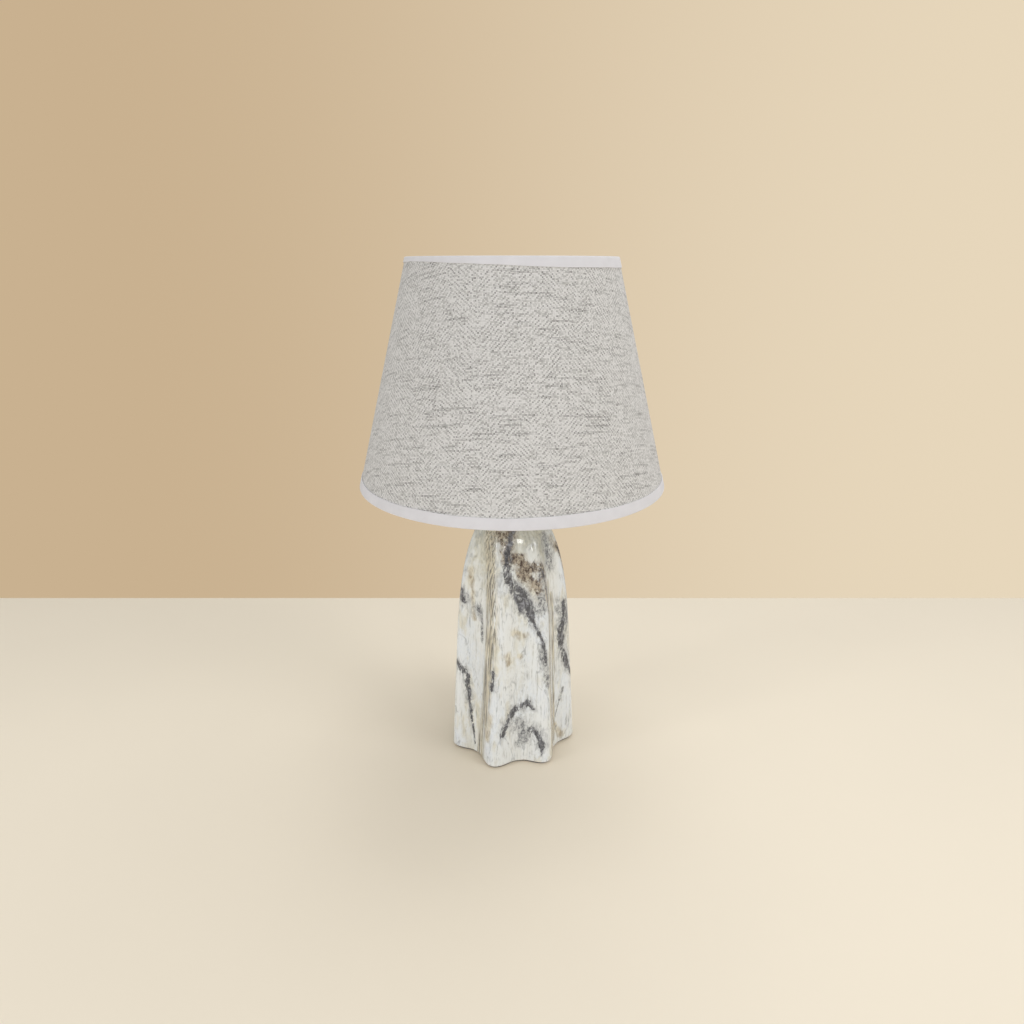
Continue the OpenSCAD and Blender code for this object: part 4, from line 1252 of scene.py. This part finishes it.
class OBJECT_OT_lamp_bulb(bpy.types.Operator):
    """The LED candle lamp: rolled screw cap, insulator, housing, boards and opal diffuser"""
    bl_idname = "object.lamp_bulb"
    bl_label = "LED lamp"

    def execute(self, context):
        inner = CAP_R - 1.2
        outline = wall_points(CAP_R, CAP_Z, CAP_TOP, 0.45) + [(inner, CAP_TOP), (inner, CAP_Z)]
        # The thread is at its full depth from the cap's lower rim and fades out below the collar
        cut = thread(CAP_R, LAMP_THREAD_DEPTH, LAMP_PITCH, CAP_Z - LAMP_PITCH / 2, CAP_TOP - 2)
        piece(turned("rolled_cap", outline, 96, 0.05, cut), "bulb", "bulb_cap_metal", "bulb_cap")
        wall = 1.4
        taper = 0.85 * (HOUSING_TOP - CAP_TOP)
        neck = CAP_R + 0.5
        socket_r = CAP_R - 1.5
        sweep = np.linspace(0, math.pi / 2, 24)
        outline = [(socket_r, CAP_TOP), (neck, CAP_TOP)]
        outline += [(neck + (LAMP_R - neck) * math.sin(a),
                     CAP_TOP + 1 + (taper - 1) * (0.5 * (1 - math.cos(a)) + a / math.pi)) for a in sweep]
        outline += [(LAMP_R, HOUSING_TOP), (LAMP_R - wall, HOUSING_TOP), (LAMP_R - wall, CAP_TOP + taper),
                    (socket_r, CAP_TOP + 3)]
        piece(turned("lamp_housing", outline, 96, 0.2), "bulb", "bulb_plastic", "bulb_housing")
        outline = self.arch(LAMP_R, LAMP_TOP - HOUSING_TOP)
        outline += self.arch(LAMP_R - wall, LAMP_TOP - HOUSING_TOP - wall)[::-1]
        mesh = turned("opal_diffuser", outline[::-1], 96, 0.02, closed=False)
        piece(mesh, "bulb", "diffuser", "bulb_diffuser")
        finish_nodes("zinc_steel", "bulb_contact")
        finish_nodes("bulb_black", "bulb_insulator")
        finish_nodes("circuit_board", "driver_board")
        finish_nodes("bulb_plastic", "led_board")
        finish_nodes("led_phosphor", "leds")
        return {"FINISHED"}

    def arch(self, radius, height):
        """A pointed arch from the tip on the axis down to the rim: the radius times the cosine, drawn
        in by a share of 0.16 of the double angle's sine, against the height times the sine."""
        sweep = np.linspace(math.pi / 2, 0, 40)
        r = radius * np.cos(sweep) * (1 - 0.16 * np.sin(2 * sweep))
        r[0] = 0
        return list(zip(r, HOUSING_TOP + height * np.sin(sweep)))


# The plain materials by slot, which main fills
finishes = {}


def finish_nodes(slot, *nodes):
    """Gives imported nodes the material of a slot."""
    for name in nodes:
        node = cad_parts[name]
        node.data.materials.clear()
        node.data.materials.append(finishes[slot])


class VIEW3D_PT_lamp(bpy.types.Panel):
    """The steps that build the table lamp"""
    bl_label = "Table Lamp"
    bl_space_type = "VIEW_3D"
    bl_region_type = "UI"
    bl_category = "Table Lamp"

    def draw(self, context):
        for group, names in PANEL_FIELDS:
            for name in names:
                self.layout.prop(getattr(context.scene, group), name)
        for step in STEPS:
            self.layout.operator(step.bl_idname)


GROUPS = {"lamp_base": LampBase, "lamp_shade": LampShade, "lamp_stage": LampStage}
PANEL_FIELDS = [
    ("lamp_base", ("glaze_white", "glaze_charcoal")),
    ("lamp_shade", ("thread_spacing", "tape_width", "tape_colour")),
    ("lamp_stage", ("floor_colour", "backdrop_shaded", "backdrop_lit", "lens")),
]
STEPS = [
    OBJECT_OT_lamp_stage, OBJECT_OT_lamp_base, OBJECT_OT_lamp_foot, OBJECT_OT_lamp_neck,
    OBJECT_OT_lamp_holder, OBJECT_OT_lamp_ring, OBJECT_OT_lamp_frame, OBJECT_OT_lamp_tapes,
    OBJECT_OT_lamp_cover, OBJECT_OT_lamp_bulb,
]


def register():
    for made in (*GROUPS.values(), *STEPS, VIEW3D_PT_lamp):
        bpy.utils.register_class(made)
    for name, group in GROUPS.items():
        setattr(bpy.types.Scene, name, bpy.props.PointerProperty(type=group))


def unregister():
    for name in GROUPS:
        delattr(bpy.types.Scene, name)
    for made in reversed((*GROUPS.values(), *STEPS, VIEW3D_PT_lamp)):
        bpy.utils.unregister_class(made)


def main():
    """Builds the lamp in order."""
    register()
    finishes.update(plain_materials())
    for step in STEPS:
        group, name = step.bl_idname.split(".")
        getattr(getattr(bpy.ops, group), name)()


if __name__ == "__main__":
    main()
